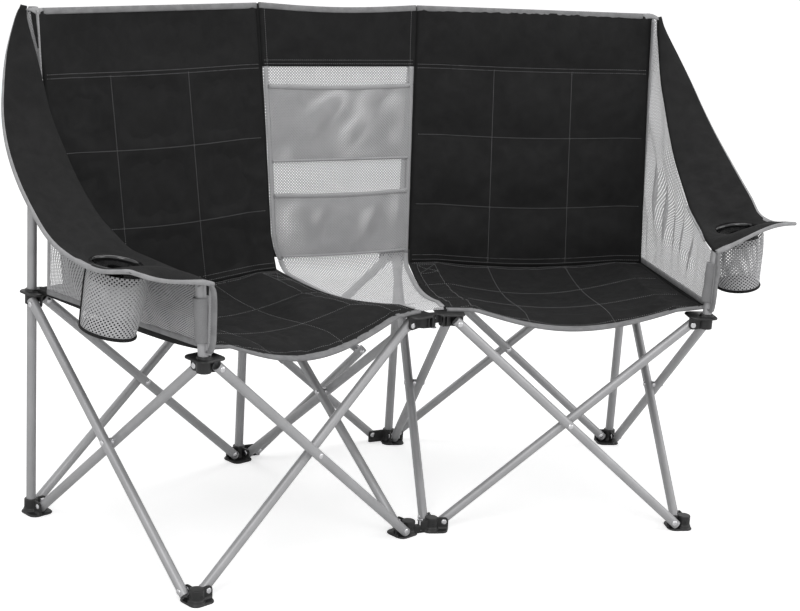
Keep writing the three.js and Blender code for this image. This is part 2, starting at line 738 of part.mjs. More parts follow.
// The panel's edge beside a back and a seat: distance in front of the rear pole, and height.
function middleEdge() {
  const seatEdge = (share) => seatUnderside(0, share) + seamThickness / 2;
  const bendAlong = backLean + middleBend;
  const bendHeight = backFoot(0) + middleBend;
  const bendShare = middleBend / (backHeight - backFoot(0));
  const path = new THREE.Path().moveTo(middleTopOffset, backHeight);
  path.lineTo(backOffset(bendShare) + seamThickness / 2, bendHeight);
  path.quadraticCurveTo(backLean, backFoot(0), bendAlong, seatEdge(bendAlong / cornerSpacing));
  const along = middleSeatShares.map((share) => new THREE.Vector2(share * cornerSpacing, seatEdge(share)));
  const tipHeight = hubPlateTop + seatingGap + middlePanelThickness / 2;
  const tip = new THREE.Vector2(cornerSpacing - middleTipInset, tipHeight);
  return path.splineThru([...along, tip]);
}

const middlePath = middleEdge();

function middlePoint(u, v) {
  const at = middlePath.getPointAt(THREE.MathUtils.clamp(v, 0, 1));
  const [left, right] = [-1, 1].map((side) => {
    const corner = (side * middleGap) / 2;
    const out = side * toeInAngle;
    const back = cornerSpacing - at.x;
    const x = corner + back * Math.sin(out) - side * fabricGap * Math.cos(out);
    return new THREE.Vector3(x, back * Math.cos(out) + fabricGap * Math.sin(toeInAngle), at.y);
  });
  const point = left.lerp(right, u);
  const onSeat = THREE.MathUtils.clamp((v - middleBackShare) / (middleFrontShare - middleBackShare), 0, 1);
  point.z -= middleSag * 4 * u * (1 - u) * Math.sin(onSeat * Math.PI);
  return point;
}

function middlePanel() {
  const [across, along] = [evenShares(panelSteps), evenShares(middleSteps)];
  return sheet(middlePoint, () => middlePanelThickness, across, along);
}

// A mesh pocket that lies on the middle panel between two shares of the panel's length.
function pocket([top, foot]) {
  const lift = middlePanelThickness / 2 + seatingGap + pocketThickness / 2;
  const point = (u, v) => {
    const along = THREE.MathUtils.lerp(top, foot, v);
    const across = THREE.MathUtils.lerp(pocketMarginShare, 1 - pocketMarginShare, u);
    const slope = middlePoint(across, foot).sub(middlePoint(across, top));
    const forward = new THREE.Vector3(0, slope.z, -slope.y).normalize();
    return middlePoint(across, along).addScaledVector(forward, lift);
  };
  return sheet(point, () => pocketThickness, evenShares(panelSteps), evenShares(panelSteps));
}

// Assembly

// The corners of a chair clockwise from above, each with the edge to the next corner and its place
// as shares of the corner spacing.
const chairs = [
  {
    side: "left",
    outward: -1,
    corners: [
      { name: "front_inner", edge: "front", placeShares: [0, 0] },
      { name: "front_outer", edge: "side", placeShares: [-1, 0] },
      { name: "rear_outer", edge: "back", placeShares: [-1, 1] },
      { name: "rear_inner", edge: "inner", placeShares: [0, 1] },
    ],
  },
  {
    side: "right",
    outward: 1,
    corners: [
      { name: "front_outer", edge: "front", placeShares: [1, 0] },
      { name: "front_inner", edge: "inner", placeShares: [0, 0] },
      { name: "rear_inner", edge: "back", placeShares: [0, 1] },
      { name: "rear_outer", edge: "side", placeShares: [1, 1] },
    ],
  },
];

function cornerPieces({ side, outward, corners }, number) {
  const { name, edge, placeShares } = corners[number];
  const direction = (other) => {
    const [x, y] = other.placeShares.map((share, axis) => share - placeShares[axis]);
    return Math.atan2(y, x);
  };
  const next = corners[(number + 1) % corners.length];
  const previous = corners[(number + corners.length - 1) % corners.length];
  const ears = [next, previous].map((other) => ({ angle: direction(other), reach: pivotReach }));
  const towardsMiddle = outward > 0 ? Math.PI + toeInAngle : -toeInAngle;
  if (name === "rear_inner") ears.push({ angle: towardsMiddle, reach: middlePivotReach });
  const isMiddle = name === "front_inner";
  const stack = outward > 0 ? hingeEyeHeight + seatingGap : 0;
  const hingeAt = (low) => (isMiddle ? hingeHalf(towardsMiddle, low + stack) : noHinge);
  const group = new THREE.Group();
  group.position.set(placeShares[0] * cornerSpacing, placeShares[1] * cornerSpacing, 0);
  group.add(named(`${side}_${name}_foot`, foot(ears, hingeAt(footHingeFoot)), blackPlastic));
  group.add(named(`${side}_${name}_hub`, hub(ears, hingeAt(hubHingeFoot), !isMiddle), blackPlastic));
  const stand = (low, high) => {
    const ends = [low, high].map((height) => new THREE.Vector3(0, 0, height));
    return pipe(...ends, tubeRadius, tubeWall, tubeSides);
  };
  if (name.startsWith("rear")) {
    const pole = stand(socketFloor + seatingGap, poleTop);
    group.add(named(`${side}_${name.replace("rear_", "")}_pole`, pole, greySteel));
  }
  if (name === "front_outer") {
    const post = stand(hubPivotHeight - hubCollarDrop, armUnderside - seatingGap);
    group.add(named(`${side}_arm_post`, post, greySteel));
  }
  const edgeGroup = new THREE.Group();
  edgeGroup.rotation.z = direction(next);
  edgeGroup.add(...edgeTubes(`${side}_${edge}`));
  return group.add(edgeGroup);
}

function chairGroup(chair) {
  const { side, outward } = chair;
  const group = new THREE.Group();
  group.position.x = (outward * middleGap) / 2;
  group.rotation.z = -outward * toeInAngle;
  for (let number = 0; number < chair.corners.length; number++) group.add(cornerPieces(chair, number));
  group.add(named(`${side}_seat`, seat(outward), blackFabric));
  group.add(named(`${side}_back`, back(outward), blackFabric));
  group.add(named(`${side}_arm`, arm(outward), blackFabric));
  group.add(named(`${side}_side_mesh`, sideMesh(outward), lightMesh));
  group.add(named(`${side}_cup_pouch`, cupPouch(outward), lightMesh));
  group.add(named(`${side}_cup_ring`, cupRing(outward), glossyTrim));
  return group;
}

const loveseat = new THREE.Group();
loveseat.add(...chairs.map(chairGroup), middleScissor(), ...hingePins());
loveseat.add(named("middle_panel", middlePanel(), lightMesh));
loveseat.add(named("upper_pocket", pocket(upperPocketShares), lightMesh));
loveseat.add(named("lower_pocket", pocket(lowerPocketShares), lightMesh));

// The whole object is centred over the origin and stands on the floor.
loveseat.updateMatrixWorld(true);
const box = new THREE.Box3().setFromObject(loveseat, true);
loveseat.position.set(-(box.min.x + box.max.x) / 2, -(box.min.y + box.max.y) / 2, -box.min.z);

export default loveseat;
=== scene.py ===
# Folding camping loveseat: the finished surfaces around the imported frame.
# Metres, +Z up, and the sitters face -Y.
import json
import math

import bmesh
import bpy
import numpy as np
from mathutils import Matrix, Vector
from mathutils.bvhtree import BVHTree


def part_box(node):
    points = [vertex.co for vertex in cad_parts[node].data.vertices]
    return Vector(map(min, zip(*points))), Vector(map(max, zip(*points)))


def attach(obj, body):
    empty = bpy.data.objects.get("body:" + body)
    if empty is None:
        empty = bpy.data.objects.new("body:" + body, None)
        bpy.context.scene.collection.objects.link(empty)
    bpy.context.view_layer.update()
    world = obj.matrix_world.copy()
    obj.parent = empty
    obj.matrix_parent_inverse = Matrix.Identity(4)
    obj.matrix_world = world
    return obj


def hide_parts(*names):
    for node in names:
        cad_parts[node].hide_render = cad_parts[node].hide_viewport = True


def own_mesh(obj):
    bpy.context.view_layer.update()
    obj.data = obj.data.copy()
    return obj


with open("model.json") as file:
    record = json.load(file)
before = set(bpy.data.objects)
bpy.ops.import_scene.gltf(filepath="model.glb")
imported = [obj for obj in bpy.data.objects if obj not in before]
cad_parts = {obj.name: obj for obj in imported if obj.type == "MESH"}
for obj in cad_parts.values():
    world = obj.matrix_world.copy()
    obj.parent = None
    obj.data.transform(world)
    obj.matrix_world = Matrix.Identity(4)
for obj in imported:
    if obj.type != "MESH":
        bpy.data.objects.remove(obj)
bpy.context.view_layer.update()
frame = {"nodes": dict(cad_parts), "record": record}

MM = 0.001

# Frame
PIVOT_REACH = 25 * MM
FOOT_PIVOT = 18 * MM
HUB_PIVOT = 422 * MM
TUBE_RADIUS = 9 * MM
TUBE_WALL = 1 * MM
TUBE_REACH = 10 * MM  # tube beyond its end rivets
TUBE_OFFSET = 11.4 * MM  # tube axis beside the plane of its edge
EAR_THICKNESS = 4 * MM
EAR_MARGIN = 9 * MM
EAR_STEPS = 10
RIVET_RADIUS = 5.5 * MM
RIVET_HEIGHT = 1.7 * MM
RIVET_SINK = 1.3 * MM  # rivet head pressed into the tube
WASHER_RADIUS = 6.5 * MM
FOOT_SIZE = 50 * MM
HUB_SIZE = 56 * MM
PLATE_CORNER = 14 * MM
PLATE_STEP = 1.5 * MM  # narrower upper part of a plate, at each side
RIM = 1 * MM
CHAMFER = 0.8 * MM
BRACE = 3 * MM  # how much thicker an ear is where it meets its plate
BRACE_RISE = 2.5 * MM
PLATE_SHIFT = 8 * MM
FOOT_PLATE = 4 * MM
SOCKET_RADIUS = 13 * MM
SOCKET_HEIGHT = 28 * MM
ROOT_HEIGHT = 9 * MM
HUB_PLATE_LOW = 437 * MM
HUB_PLATE_TOP = 441 * MM
COLLAR_RADIUS = 12.8 * MM
COLLAR_LOW = 416 * MM
COLLAR_TOP = 445 * MM
MIDDLE_GAP = 50 * MM
HINGE_EYE = 10 * MM

# Fabric
SEAT_HEIGHT = 441.4 * MM
BACK_HEIGHT = 966 * MM
ARM_HEIGHT = 571 * MM
SEAM = 4 * MM  # pad on a stitch line
PUFF = 6 * MM
SEAT_INSET = 2.2 * MM
SEAT_SAG = 30 * MM
FRONT_SAG = 40 * MM
INNER_SAG = 24 * MM
FRONT_LIFT = 14 * MM
FRONT_PULL = 18 * MM
BACK_LEAN = 104 * MM
BACK_TOP = 6 * MM
SLEEVE_LENGTH = 128 * MM
ARM_WIDTH = 160 * MM
ARM_THICKNESS = 5 * MM
ARM_CROWN = 12 * MM  # bulge of the arm rest's front
ARM_PUFF = 4 * MM
ARM_TAPE = (13 * MM, 7.4 * MM)  # width and thickness
CUP_HOLE = 42 * MM
CUP_POUCH = 48 * MM  # radius of the pouch's mouth
CUP_DEPTH = 104 * MM
CUP_SPLAY = 14 * MM
CUP_FOOT_ACROSS = 40 * MM
CUP_FOOT_ALONG = 54 * MM
BINDING_WIDTH = 15 * MM
BINDING_THICKNESS = 5 * MM
BAND_SHARE = 0.233  # plain top band of a back
FLAT_SHARE = 1 / 9  # seat edge that lies on a hub plate
QUILT_CELLS = 3

UP = np.array([0.0, 0.0, 1.0])


# Vectors and shares

def unit(vectors):
    lengths = np.linalg.norm(vectors, axis=-1, keepdims=True)
    return vectors / np.maximum(lengths, 1e-12)


def mix(low, high, share):
    return low + (high - low) * share


def across(direction):
    """Two unit vectors that are square to a direction and to each other."""
    direction = unit(np.asarray(direction, float))
    start = UP if abs(direction[2]) < 0.9 else np.array([1.0, 0.0, 0.0])
    side = unit(np.cross(direction, start))
    return side, np.cross(direction, side)


def smooth_share(share):
    share = np.clip(share, 0, 1)
    return share * share * (3 - 2 * share)


def lengths_along(path):
    steps = np.linalg.norm(np.diff(path, axis=0), axis=1)
    return np.concatenate([[0.0], np.cumsum(steps)])


def resample(path, step, *others):
    """The path again with points about a step apart, and its other rows with it."""
    along = lengths_along(path)
    count = max(2, int(round(along[-1] / step)) + 1)
    at = np.linspace(0, along[-1], count)
    rows = []
    for values in (path, *others):
        rows.append(np.stack([np.interp(at, along, values[:, axis]) for axis in range(3)], axis=1))
    return rows if others else rows[0]


def spline(points, count):
    """A smooth curve through points, by Catmull and Rom's rule."""
    points = np.asarray(points, float)
    padded = np.vstack([2 * points[0] - points[1], points, 2 * points[-1] - points[-2]])
    places = np.linspace(0, len(points) - 1, count)
    result = []
    for place in places:
        number = min(int(place), len(points) - 2)
        t = place - number
        a, b, c, d = padded[number:number + 4]
        result.append(0.5 * (2 * b + (c - a) * t + (2 * a - 5 * b + 4 * c - d) * t ** 2
                             + (3 * b - a - 3 * c + d) * t ** 3))
    return np.array(result)


# The two chairs

def centre(node):
    low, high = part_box(node)
    return np.array((low + high) / 2)


class Chair:
    """One chair's own frame: out from its inner edge, back from its front edge, and up."""

    def __init__(self, side, outward):
        pieces = ("arm_post", "outer_pole", "inner_pole")
        post, outer, inner = (centre(f"{side}_{piece}") for piece in pieces)
        for point in (post, outer, inner):
            point[2] = 0
        self.side = side
        self.outward = outward
        self.origin = post + inner - outer
        self.spacing = float(np.linalg.norm(outer - post))
        self.out = unit(outer - inner)
        self.back = unit(outer - post)

    def at(self, out, back, up):
        out, back, up = (np.asarray(value, float)[..., None] for value in (out, back, up))
        return self.origin + out * self.out + back * self.back + up * UP

    def corner(self, name):
        out = self.spacing if "outer" in name else 0.0
        back = self.spacing if "rear" in name else 0.0
        return self.at(out, back, 0)

    def neighbours(self, name):
        """Unit vectors from a corner along its two edges."""
        out = self.out * (-1 if "outer" in name else 1)
        back = self.back * (-1 if "rear" in name else 1)
        return [out, back]


chairs = [Chair("left", -1), Chair("right", 1)]
SPACING = chairs[0].spacing
CORNERS = ("front_inner", "front_outer", "rear_outer", "rear_inner")


# Mesh making

class Shape:
    """Points and faces, each face with the number of its material, that grow into one mesh."""

    def __init__(self):
        self.points = []
        self.faces = []
        self.numbers = []
        self.count = 0

    def add(self, points, faces, number=0):
        self.points.append(np.asarray(points, float).reshape(-1, 3))
        for face in faces:
            self.faces.append([self.count + corner for corner in face])
            self.numbers.append(number)
        self.count += len(self.points[-1])

    def build(self, name, materials, smooth=True):
        mesh = bpy.data.meshes.new(name)
        mesh.from_pydata(np.vstack(self.points).tolist(), [], self.faces)
        for material in materials:
            mesh.materials.append(material)
        mesh.polygons.foreach_set("material_index", self.numbers)
        mesh.polygons.foreach_set("use_smooth", [smooth] * len(self.faces))
        piece = bpy.data.objects.new(name, mesh)
        bpy.context.scene.collection.objects.link(piece)
        return piece


def evaluated(piece):
    """The piece's mesh with its modifiers applied."""
    graph = bpy.context.evaluated_depsgraph_get()
    graph.update()
    mesh = bpy.data.meshes.new_from_object(piece.evaluated_get(graph))
    old = piece.data
    piece.modifiers.clear()
    piece.data = mesh
    name = old.name
    bpy.data.meshes.remove(old)
    mesh.name = name
    return piece


def auto_smooth(piece, degrees=35):
    """Flat shading over sharp edges, smooth shading elsewhere."""
    mesh = piece.data
    mesh.polygons.foreach_set("use_smooth", [True] * len(mesh.polygons))
    mesh.set_sharp_from_angle(angle=math.radians(degrees))
    return piece


def round_piece(profile, base, direction, sides=24, closed=False):
    """A turned surface from (radius, height) pairs about a line from the base."""
    side, other = across(direction)
    direction = unit(np.asarray(direction, float))
    points = []
    rings = []
    for radius, height in profile:
        place = base + direction * height
        if radius < 1e-9:
            rings.append([len(points)])
            points.append(place)
            continue
        rings.append(list(range(len(points), len(points) + sides)))
        for angle in np.arange(sides) * 2 * math.pi / sides:
            points.append(place + radius * (math.cos(angle) * side + math.sin(angle) * other))
    faces = []
    pairs = list(zip(rings, rings[1:])) + ([(rings[-1], rings[0])] if closed else [])
    for low, high in pairs:
        for number in range(sides):
            following = (number + 1) % sides
            if len(low) == 1 and len(high) == 1:
                continue
            if len(low) == 1:
                faces.append([low[0], high[number], high[following]])
            elif len(high) == 1:
                faces.append([low[number], high[0], low[following]])
            else:
                faces.append([low[number], high[number], high[following], low[following]])
    return points, faces


def grid_faces(rows, columns, start=0, flip=False, around=False):
    faces = []
    for row in range(rows - 1):
        for column in range(columns if around else columns - 1):
            following = (column + 1) % columns
            a = start + row * columns + column
            b = start + row * columns + following
            face = [a, b, b + columns, a + columns]
            faces.append(face[::-1] if flip else face)
    return faces


def grid_normals(grid, toward):
    """Unit normals of a grid of points, on the side of the direction given."""
    along_rows = np.gradient(grid, axis=0)
    along_columns = np.gradient(grid, axis=1)
    normals = unit(np.cross(along_columns, along_rows))
    if np.sum(normals * toward) < 0:
        normals = -normals
    return normals


def closed_sheet(front, rear, kept=None):
    """Points and faces of the solid between two grids of the same size, without the faces not kept."""
    rows, columns = front.shape[:2]
    count = rows * columns
    points = np.vstack([front.reshape(-1, 3), rear.reshape(-1, 3)])
    turn = np.cross(front[0, -1] - front[0, 0], front[-1, 0] - front[0, 0])
    flip = np.dot(turn, (front - rear).mean(axis=(0, 1))) < 0
    cells = grid_faces(rows, columns, 0, flip)
    if kept is not None:
        cells = [cell for cell, keep in zip(cells, kept.ravel()) if keep]
    faces = cells + [[corner + count for corner in cell[::-1]] for cell in cells]
    edges = {(a, b) for cell in cells for a, b in zip(cell, cell[1:] + cell[:1])}
    for a, b in edges:
        if (b, a) not in edges:
            faces.append([b, a, a + count, b + count])
    return points, faces


def sweep(path, sides, ups, section, closed=False):
    """A solid along a path: each section point is (share of the side vector, share of the up vector)."""
    path, sides, ups = (np.asarray(values, float) for values in (path, sides, ups))
    rings = [path + a * sides + b * ups for a, b in section]
    points = np.stack(rings, axis=1)
    rows, columns = points.shape[:2]
    faces = grid_faces(rows, columns, around=True)
    if closed:
        last = (rows - 1) * columns
        for number in range(columns):
            following = (number + 1) % columns
            faces.append([last + number, last + following, following, number])
    else:
        faces.append(list(range(columns))[::-1])
        faces.append([(rows - 1) * columns + number for number in range(columns)])
    return points.reshape(-1, 3), faces


def tangents(path):
    return unit(np.gradient(np.asarray(path, float), axis=0))


def round_section(radius, sides=10, flat=1.0):
    angles = np.arange(sides) * 2 * math.pi / sides
    return [(radius * math.cos(angle), radius * flat * math.sin(angle)) for angle in angles]


def piping(path, radius, toward, sides=10, flat=1.0, closed=False):
    """A round or flattened cord of fabric along a path."""
    direction = tangents(path)
    sides_vectors = unit(np.cross(direction, toward))
    ups = np.cross(sides_vectors, direction)
    return sweep(path, sides_vectors, ups, round_section(radius, sides, flat), closed)


def recalculate(piece):
    """Turns the faces of a closed piece outwards."""
    work = bmesh.new()
    work.from_mesh(piece.data)
    bmesh.ops.recalc_face_normals(work, faces=work.faces)
    work.to_mesh(piece.data)
    work.free()
    return piece


def single(name, solid, material):
    """One solid, as points and faces, as a piece of its own."""
    shape = Shape()
    shape.add(*solid)
    return shape.build(name, [material])


def tree_of(piece):
    points = [vertex.co[:] for vertex in piece.data.vertices]
    return BVHTree.FromPolygons(points, [polygon.vertices[:] for polygon in piece.data.polygons])


def onto(tree, points, toward, reach=40 * MM):
    """The points moved along a direction onto a surface, and the surface's normals there."""
    toward = unit(np.asarray(toward, float))
    places = []
    normals = []
    for point in points:
        hit, normal, _, _ = tree.ray_cast(Vector(point + toward * reach), Vector(-toward), 2 * reach)
        if hit is None:
            hit, normal, _, _ = tree.find_nearest(Vector(point))
        normal = np.array(normal)
        places.append(np.array(hit))
        normals.append(normal if np.dot(normal, toward) > 0 else -normal)
    return np.array(places), np.array(normals)


# Materials

class Nodes:
    """A node tree that is written as nested calls."""

    def __init__(self, name):
        self.material = bpy.data.materials.new(name)
        self.material.use_nodes = True
        self.tree = self.material.node_tree
        self.shader = self.tree.nodes["Principled BSDF"]

    def node(self, kind, **settings):
        made = self.tree.nodes.new(kind)
        inputs = settings.pop("inputs", {})
        for key, value in settings.items():
            setattr(made, key, value)
        for key, value in inputs.items():
            self.put(made.inputs[key], value)
        return made

    def put(self, socket, value):
        if isinstance(value, bpy.types.NodeSocket):
            self.tree.links.new(value, socket)
        else:
            socket.default_value = value

    def maths(self, operation, *values):
        made = self.node("ShaderNodeMath", operation=operation)
        for number, value in enumerate(values):
            self.put(made.inputs[number], value)
        return made.outputs[0]

    def noise(self, vector, scale, detail=3.0, roughness=0.55, distortion=0.0):
        made = self.node("ShaderNodeTexNoise", inputs={
            "Vector": vector, "Scale": scale, "Detail": detail, "Roughness": roughness,
            "Distortion": distortion})
        return made.outputs["Fac"]

    def range(self, value, low, high, new_low, new_high):
        made = self.node("ShaderNodeMapRange", inputs={
            "Value": value, "From Min": low, "From Max": high, "To Min": new_low, "To Max": new_high})
        return made.outputs["Result"]

    def place(self):
        return self.node("ShaderNodeTexCoord").outputs["Object"]

    def woven_place(self):
        """Places along a piece's own two directions, in metres."""
        return self.node("ShaderNodeUVMap", uv_map=WEAVE).outputs["UV"]

    def parts(self, vector):
        made = self.node("ShaderNodeSeparateXYZ", inputs={"Vector": vector})
        return made.outputs["X"], made.outputs["Y"], made.outputs["Z"]

    def shade(self, share, low, high):
        made = self.node("ShaderNodeMix", data_type="RGBA")
        self.put(made.inputs["Factor"], share)
        self.put(made.inputs["A"], (*low, 1))
        self.put(made.inputs["B"], (*high, 1))
        return made.outputs["Result"]

    def bump(self, height, distance, strength=1.0, normal=None):
        made = self.node("ShaderNodeBump", inputs={
            "Height": height, "Distance": distance, "Strength": strength})
        if normal is not None:
            self.put(made.inputs["Normal"], normal)
        return made.outputs["Normal"]

    def finish(self, **inputs):
        for key, value in inputs.items():
            self.put(self.shader.inputs[key.replace("_", " ")], value)
        return self.material


WEAVE = "weave"
THREAD_PITCH = 1.1 * MM
RIB_PITCH = 1.6 * MM  # of ribbed tape
CLOUD_SPAN = (0.35, 0.65)
GRAIN_SPAN = (0.3, 0.7)


def tone(level):
    return (level, level, level * 1.02)


def painted_tube():
    nodes = Nodes("grey_tube_paint")
    place = nodes.place()
    grain = nodes.noise(place, 900.0, 2.0)
    cloud = nodes.noise(place, 14.0, 3.0)
    base = nodes.shade(nodes.range(cloud, *CLOUD_SPAN, 0.0, 1.0), tone(0.40), tone(0.46))
    rough = nodes.range(grain, *GRAIN_SPAN, 0.36, 0.46)
    normal = nodes.bump(grain, 0.00003, 0.5)
    return nodes.finish(Base_Color=base, Roughness=rough, Metallic=0.3, Normal=normal)


def bright_steel():
    nodes = Nodes("bright_rivet_steel")
    place = nodes.place()
    brush = nodes.noise(place, 1400.0, 2.0)
    base = nodes.shade(brush, tone(0.62), tone(0.75))
    rough = nodes.range(brush, *GRAIN_SPAN, 0.16, 0.30)
    return nodes.finish(Base_Color=base, Roughness=rough, Metallic=1.0,
                        Normal=nodes.bump(brush, 0.00002, 0.4))


def moulded_plastic():
    nodes = Nodes("black_moulded_plastic")
    place = nodes.place()
    grain = nodes.noise(place, 1600.0, 2.0)
    cloud = nodes.noise(place, 40.0, 3.0)
    base = nodes.shade(nodes.range(cloud, *CLOUD_SPAN, 0.0, 1.0), tone(0.010), tone(0.017))
    rough = nodes.range(cloud, *GRAIN_SPAN, 0.38, 0.52)
    return nodes.finish(Base_Color=base, Roughness=rough, Normal=nodes.bump(grain, 0.00006, 0.5))


def glossy_plastic():
    nodes = Nodes("glossy_black_plastic")
    cloud = nodes.noise(nodes.place(), 60.0, 2.0)
    base = nodes.shade(cloud, tone(0.008), tone(0.012))
    rough = nodes.range(cloud, *GRAIN_SPAN, 0.12, 0.2)
    return nodes.finish(Base_Color=base, Roughness=rough, Coat_Weight=0.5, Coat_Roughness=0.1)


def woven_fabric(name, dark, light, crease=0.0012):
    """Coated polyester: a fine plain weave, soft creases and a faint sheen."""
    nodes = Nodes(name)
    place = nodes.place()
    x, y, z = nodes.parts(place)
    threads = 2 * math.pi / THREAD_PITCH
    weave = nodes.maths("MULTIPLY", nodes.maths("SINE", nodes.maths("MULTIPLY", x, threads)),
                        nodes.maths("SINE", nodes.maths("MULTIPLY", nodes.maths("ADD", y, z), threads)))
    fold = nodes.noise(place, 9.0, 4.0, 0.5, 1.2)
    small = nodes.noise(place, 45.0, 3.0, 0.5, 0.6)
    fleck = nodes.noise(place, 700.0, 2.0)
    mottle = nodes.maths("ADD", fold, nodes.maths("MULTIPLY", fleck, 0.5))
    share = nodes.range(mottle, 0.55, 0.95, 0.0, 1.0)
    base = nodes.shade(share, tone(dark), tone(light))
    soft = nodes.bump(fold, crease * 4, 0.5)
    soft = nodes.bump(small, crease * 0.6, 0.35, soft)
    normal = nodes.bump(weave, 0.00008, 0.35, soft)
    rough = nodes.range(small, *GRAIN_SPAN, 0.74, 0.88)
    return nodes.finish(Base_Color=base, Roughness=rough, Normal=normal, Specular_IOR_Level=0.2)


def ribbed_tape(name, dark, light):
    """Grosgrain tape: fine ribs across its length."""
    nodes = Nodes(name)
    along, _, _ = nodes.parts(nodes.woven_place())
    rib = nodes.maths("SINE", nodes.maths("MULTIPLY", along, 2 * math.pi / RIB_PITCH))
    cloud = nodes.noise(nodes.place(), 60.0, 3.0)
    mottle = nodes.maths("ADD", cloud, nodes.maths("MULTIPLY", rib, 0.08))
    share = nodes.range(mottle, *CLOUD_SPAN, 0.0, 1.0)
    base = nodes.shade(share, tone(dark), tone(light))
    normal = nodes.bump(rib, 0.00025, 0.6, nodes.bump(cloud, 0.002, 0.4))
    return nodes.finish(Base_Color=base, Roughness=0.8, Normal=normal, Specular_IOR_Level=0.25)


def net_fabric(name, level, unit_width, unit_height, open_share):
    """Knitted net with staggered holes, two in each unit, that show what is behind."""
    nodes = Nodes(name)
    along, over, _ = nodes.parts(nodes.woven_place())
    first = nodes.maths("SINE", nodes.maths("MULTIPLY", along, 2 * math.pi / unit_width))
    second = nodes.maths("SINE", nodes.maths("MULTIPLY", over, 2 * math.pi / unit_height))
    product = nodes.maths("MULTIPLY", first, second)
    solid = nodes.range(product, open_share, open_share + 0.25, 1.0, 0.0)
    cloud = nodes.noise(nodes.place(), 30.0, 3.0, 0.5, 0.8)
    base = nodes.shade(nodes.range(cloud, *GRAIN_SPAN, 0.0, 1.0), tone(level * 0.9), tone(level))
    normal = nodes.bump(product, -0.0006, 0.7, nodes.bump(cloud, 0.004, 0.3))
    return nodes.finish(Base_Color=base, Alpha=solid, Roughness=0.85, Normal=normal,
                        Specular_IOR_Level=0.2)


def thread():
    nodes = Nodes("grey_thread")
    twist = nodes.noise(nodes.place(), 900.0, 2.0)
    return nodes.finish(Base_Color=nodes.shade(twist, tone(0.22), tone(0.38)), Roughness=0.7)


# Near-black paint for the pin holes in a foot's socket: painted shade in place of the depth of a hole.
def painted_hole_shade():
    nodes = Nodes("painted_hole_shade")
    cloud = nodes.noise(nodes.place(), 300.0, 2.0)
    return nodes.finish(Base_Color=nodes.shade(cloud, tone(0.004), tone(0.008)), Roughness=0.8)


TUBE = painted_tube()
STEEL = bright_steel()
PLASTIC = moulded_plastic()
GLOSS = glossy_plastic()
CLOTH = woven_fabric("black_cloth", 0.0105, 0.0150)
BACKING = woven_fabric("black_backing_cloth", 0.008, 0.012, 0.0018)
STRAP = ribbed_tape("black_strap", 0.008, 0.014)
TAPE = ribbed_tape("grey_binding", 0.23, 0.30)
PALE_TAPE = ribbed_tape("pale_arm_binding", 0.34, 0.42)
SEAM_TAPE = ribbed_tape("pale_seam_tape", 0.4, 0.5)
SLEEVE = woven_fabric("grey_sleeve_cloth", 0.24, 0.32, 0.0008)
NET = net_fabric("light_net", 0.52, 6 * MM, 6 * MM, 0.30)
HEM = net_fabric("folded_net", 0.44, 6 * MM, 6 * MM, 1.0)
# The pocket net is a darker copy of the light net: painted shade for the pocket's doubled layer over the
# panel.
POCKET_NET_PAINTED_SHADE = net_fabric("pocket_net_painted_shade", 0.46, 6 * MM, 6 * MM, 0.45)
POUCH_NET = net_fabric("pouch_net", 0.52, 8 * MM, 7 * MM, 0.24)
THREAD = thread()
HOLE = painted_hole_shade()


def weave_places(piece, places):
    """Gives a piece its own two directions in metres, one pair of numbers for each vertex."""
    layer = piece.data.uv_layers.new(name=WEAVE)
    corners = np.zeros(len(piece.data.loops), np.int32)
    piece.data.loops.foreach_get("vertex_index", corners)
    layer.data.foreach_set("uv", np.asarray(places, np.float32)[corners].ravel())


def grid_places(grid):
    """Distances along the rows and the columns of a grid of points."""
    along = np.zeros(grid.shape[:2])
    over = np.zeros(grid.shape[:2])
    along[:, 1:] = np.cumsum(np.linalg.norm(np.diff(grid, axis=1), axis=2), axis=1)
    over[1:, :] = np.cumsum(np.linalg.norm(np.diff(grid, axis=0), axis=2), axis=0)
    along -= along.mean(axis=1, keepdims=True)
    return np.stack([along, over], axis=2).reshape(-1, 2)


def weave_along(piece, path, places):
    """Gives a swept piece its two directions: along its path, and the places across its section."""
    along = np.repeat(lengths_along(path), len(places))
    weave_places(piece, np.stack([along, np.tile(places, len(path))], axis=1))


def cord_piece(name, solid, material):
    piece = single(name, solid, material)
    weave_places(piece, np.zeros((len(piece.data.vertices), 2)))
    return recalculate(piece)


def dress(piece, body, slot, *nodes):
    """Puts a piece on its body and in the place of its nodes; the slot is not used."""
    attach(piece, body)
    if nodes:
        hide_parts(*nodes)
    return piece


# Cloth

GROWTH = 0.012  # of the cloth between its stitch lines
PRESSURE = 1.2
CLOTH_FRAMES = 18
STIFFNESS = 15.0
MOST_SHIFT = 20 * MM


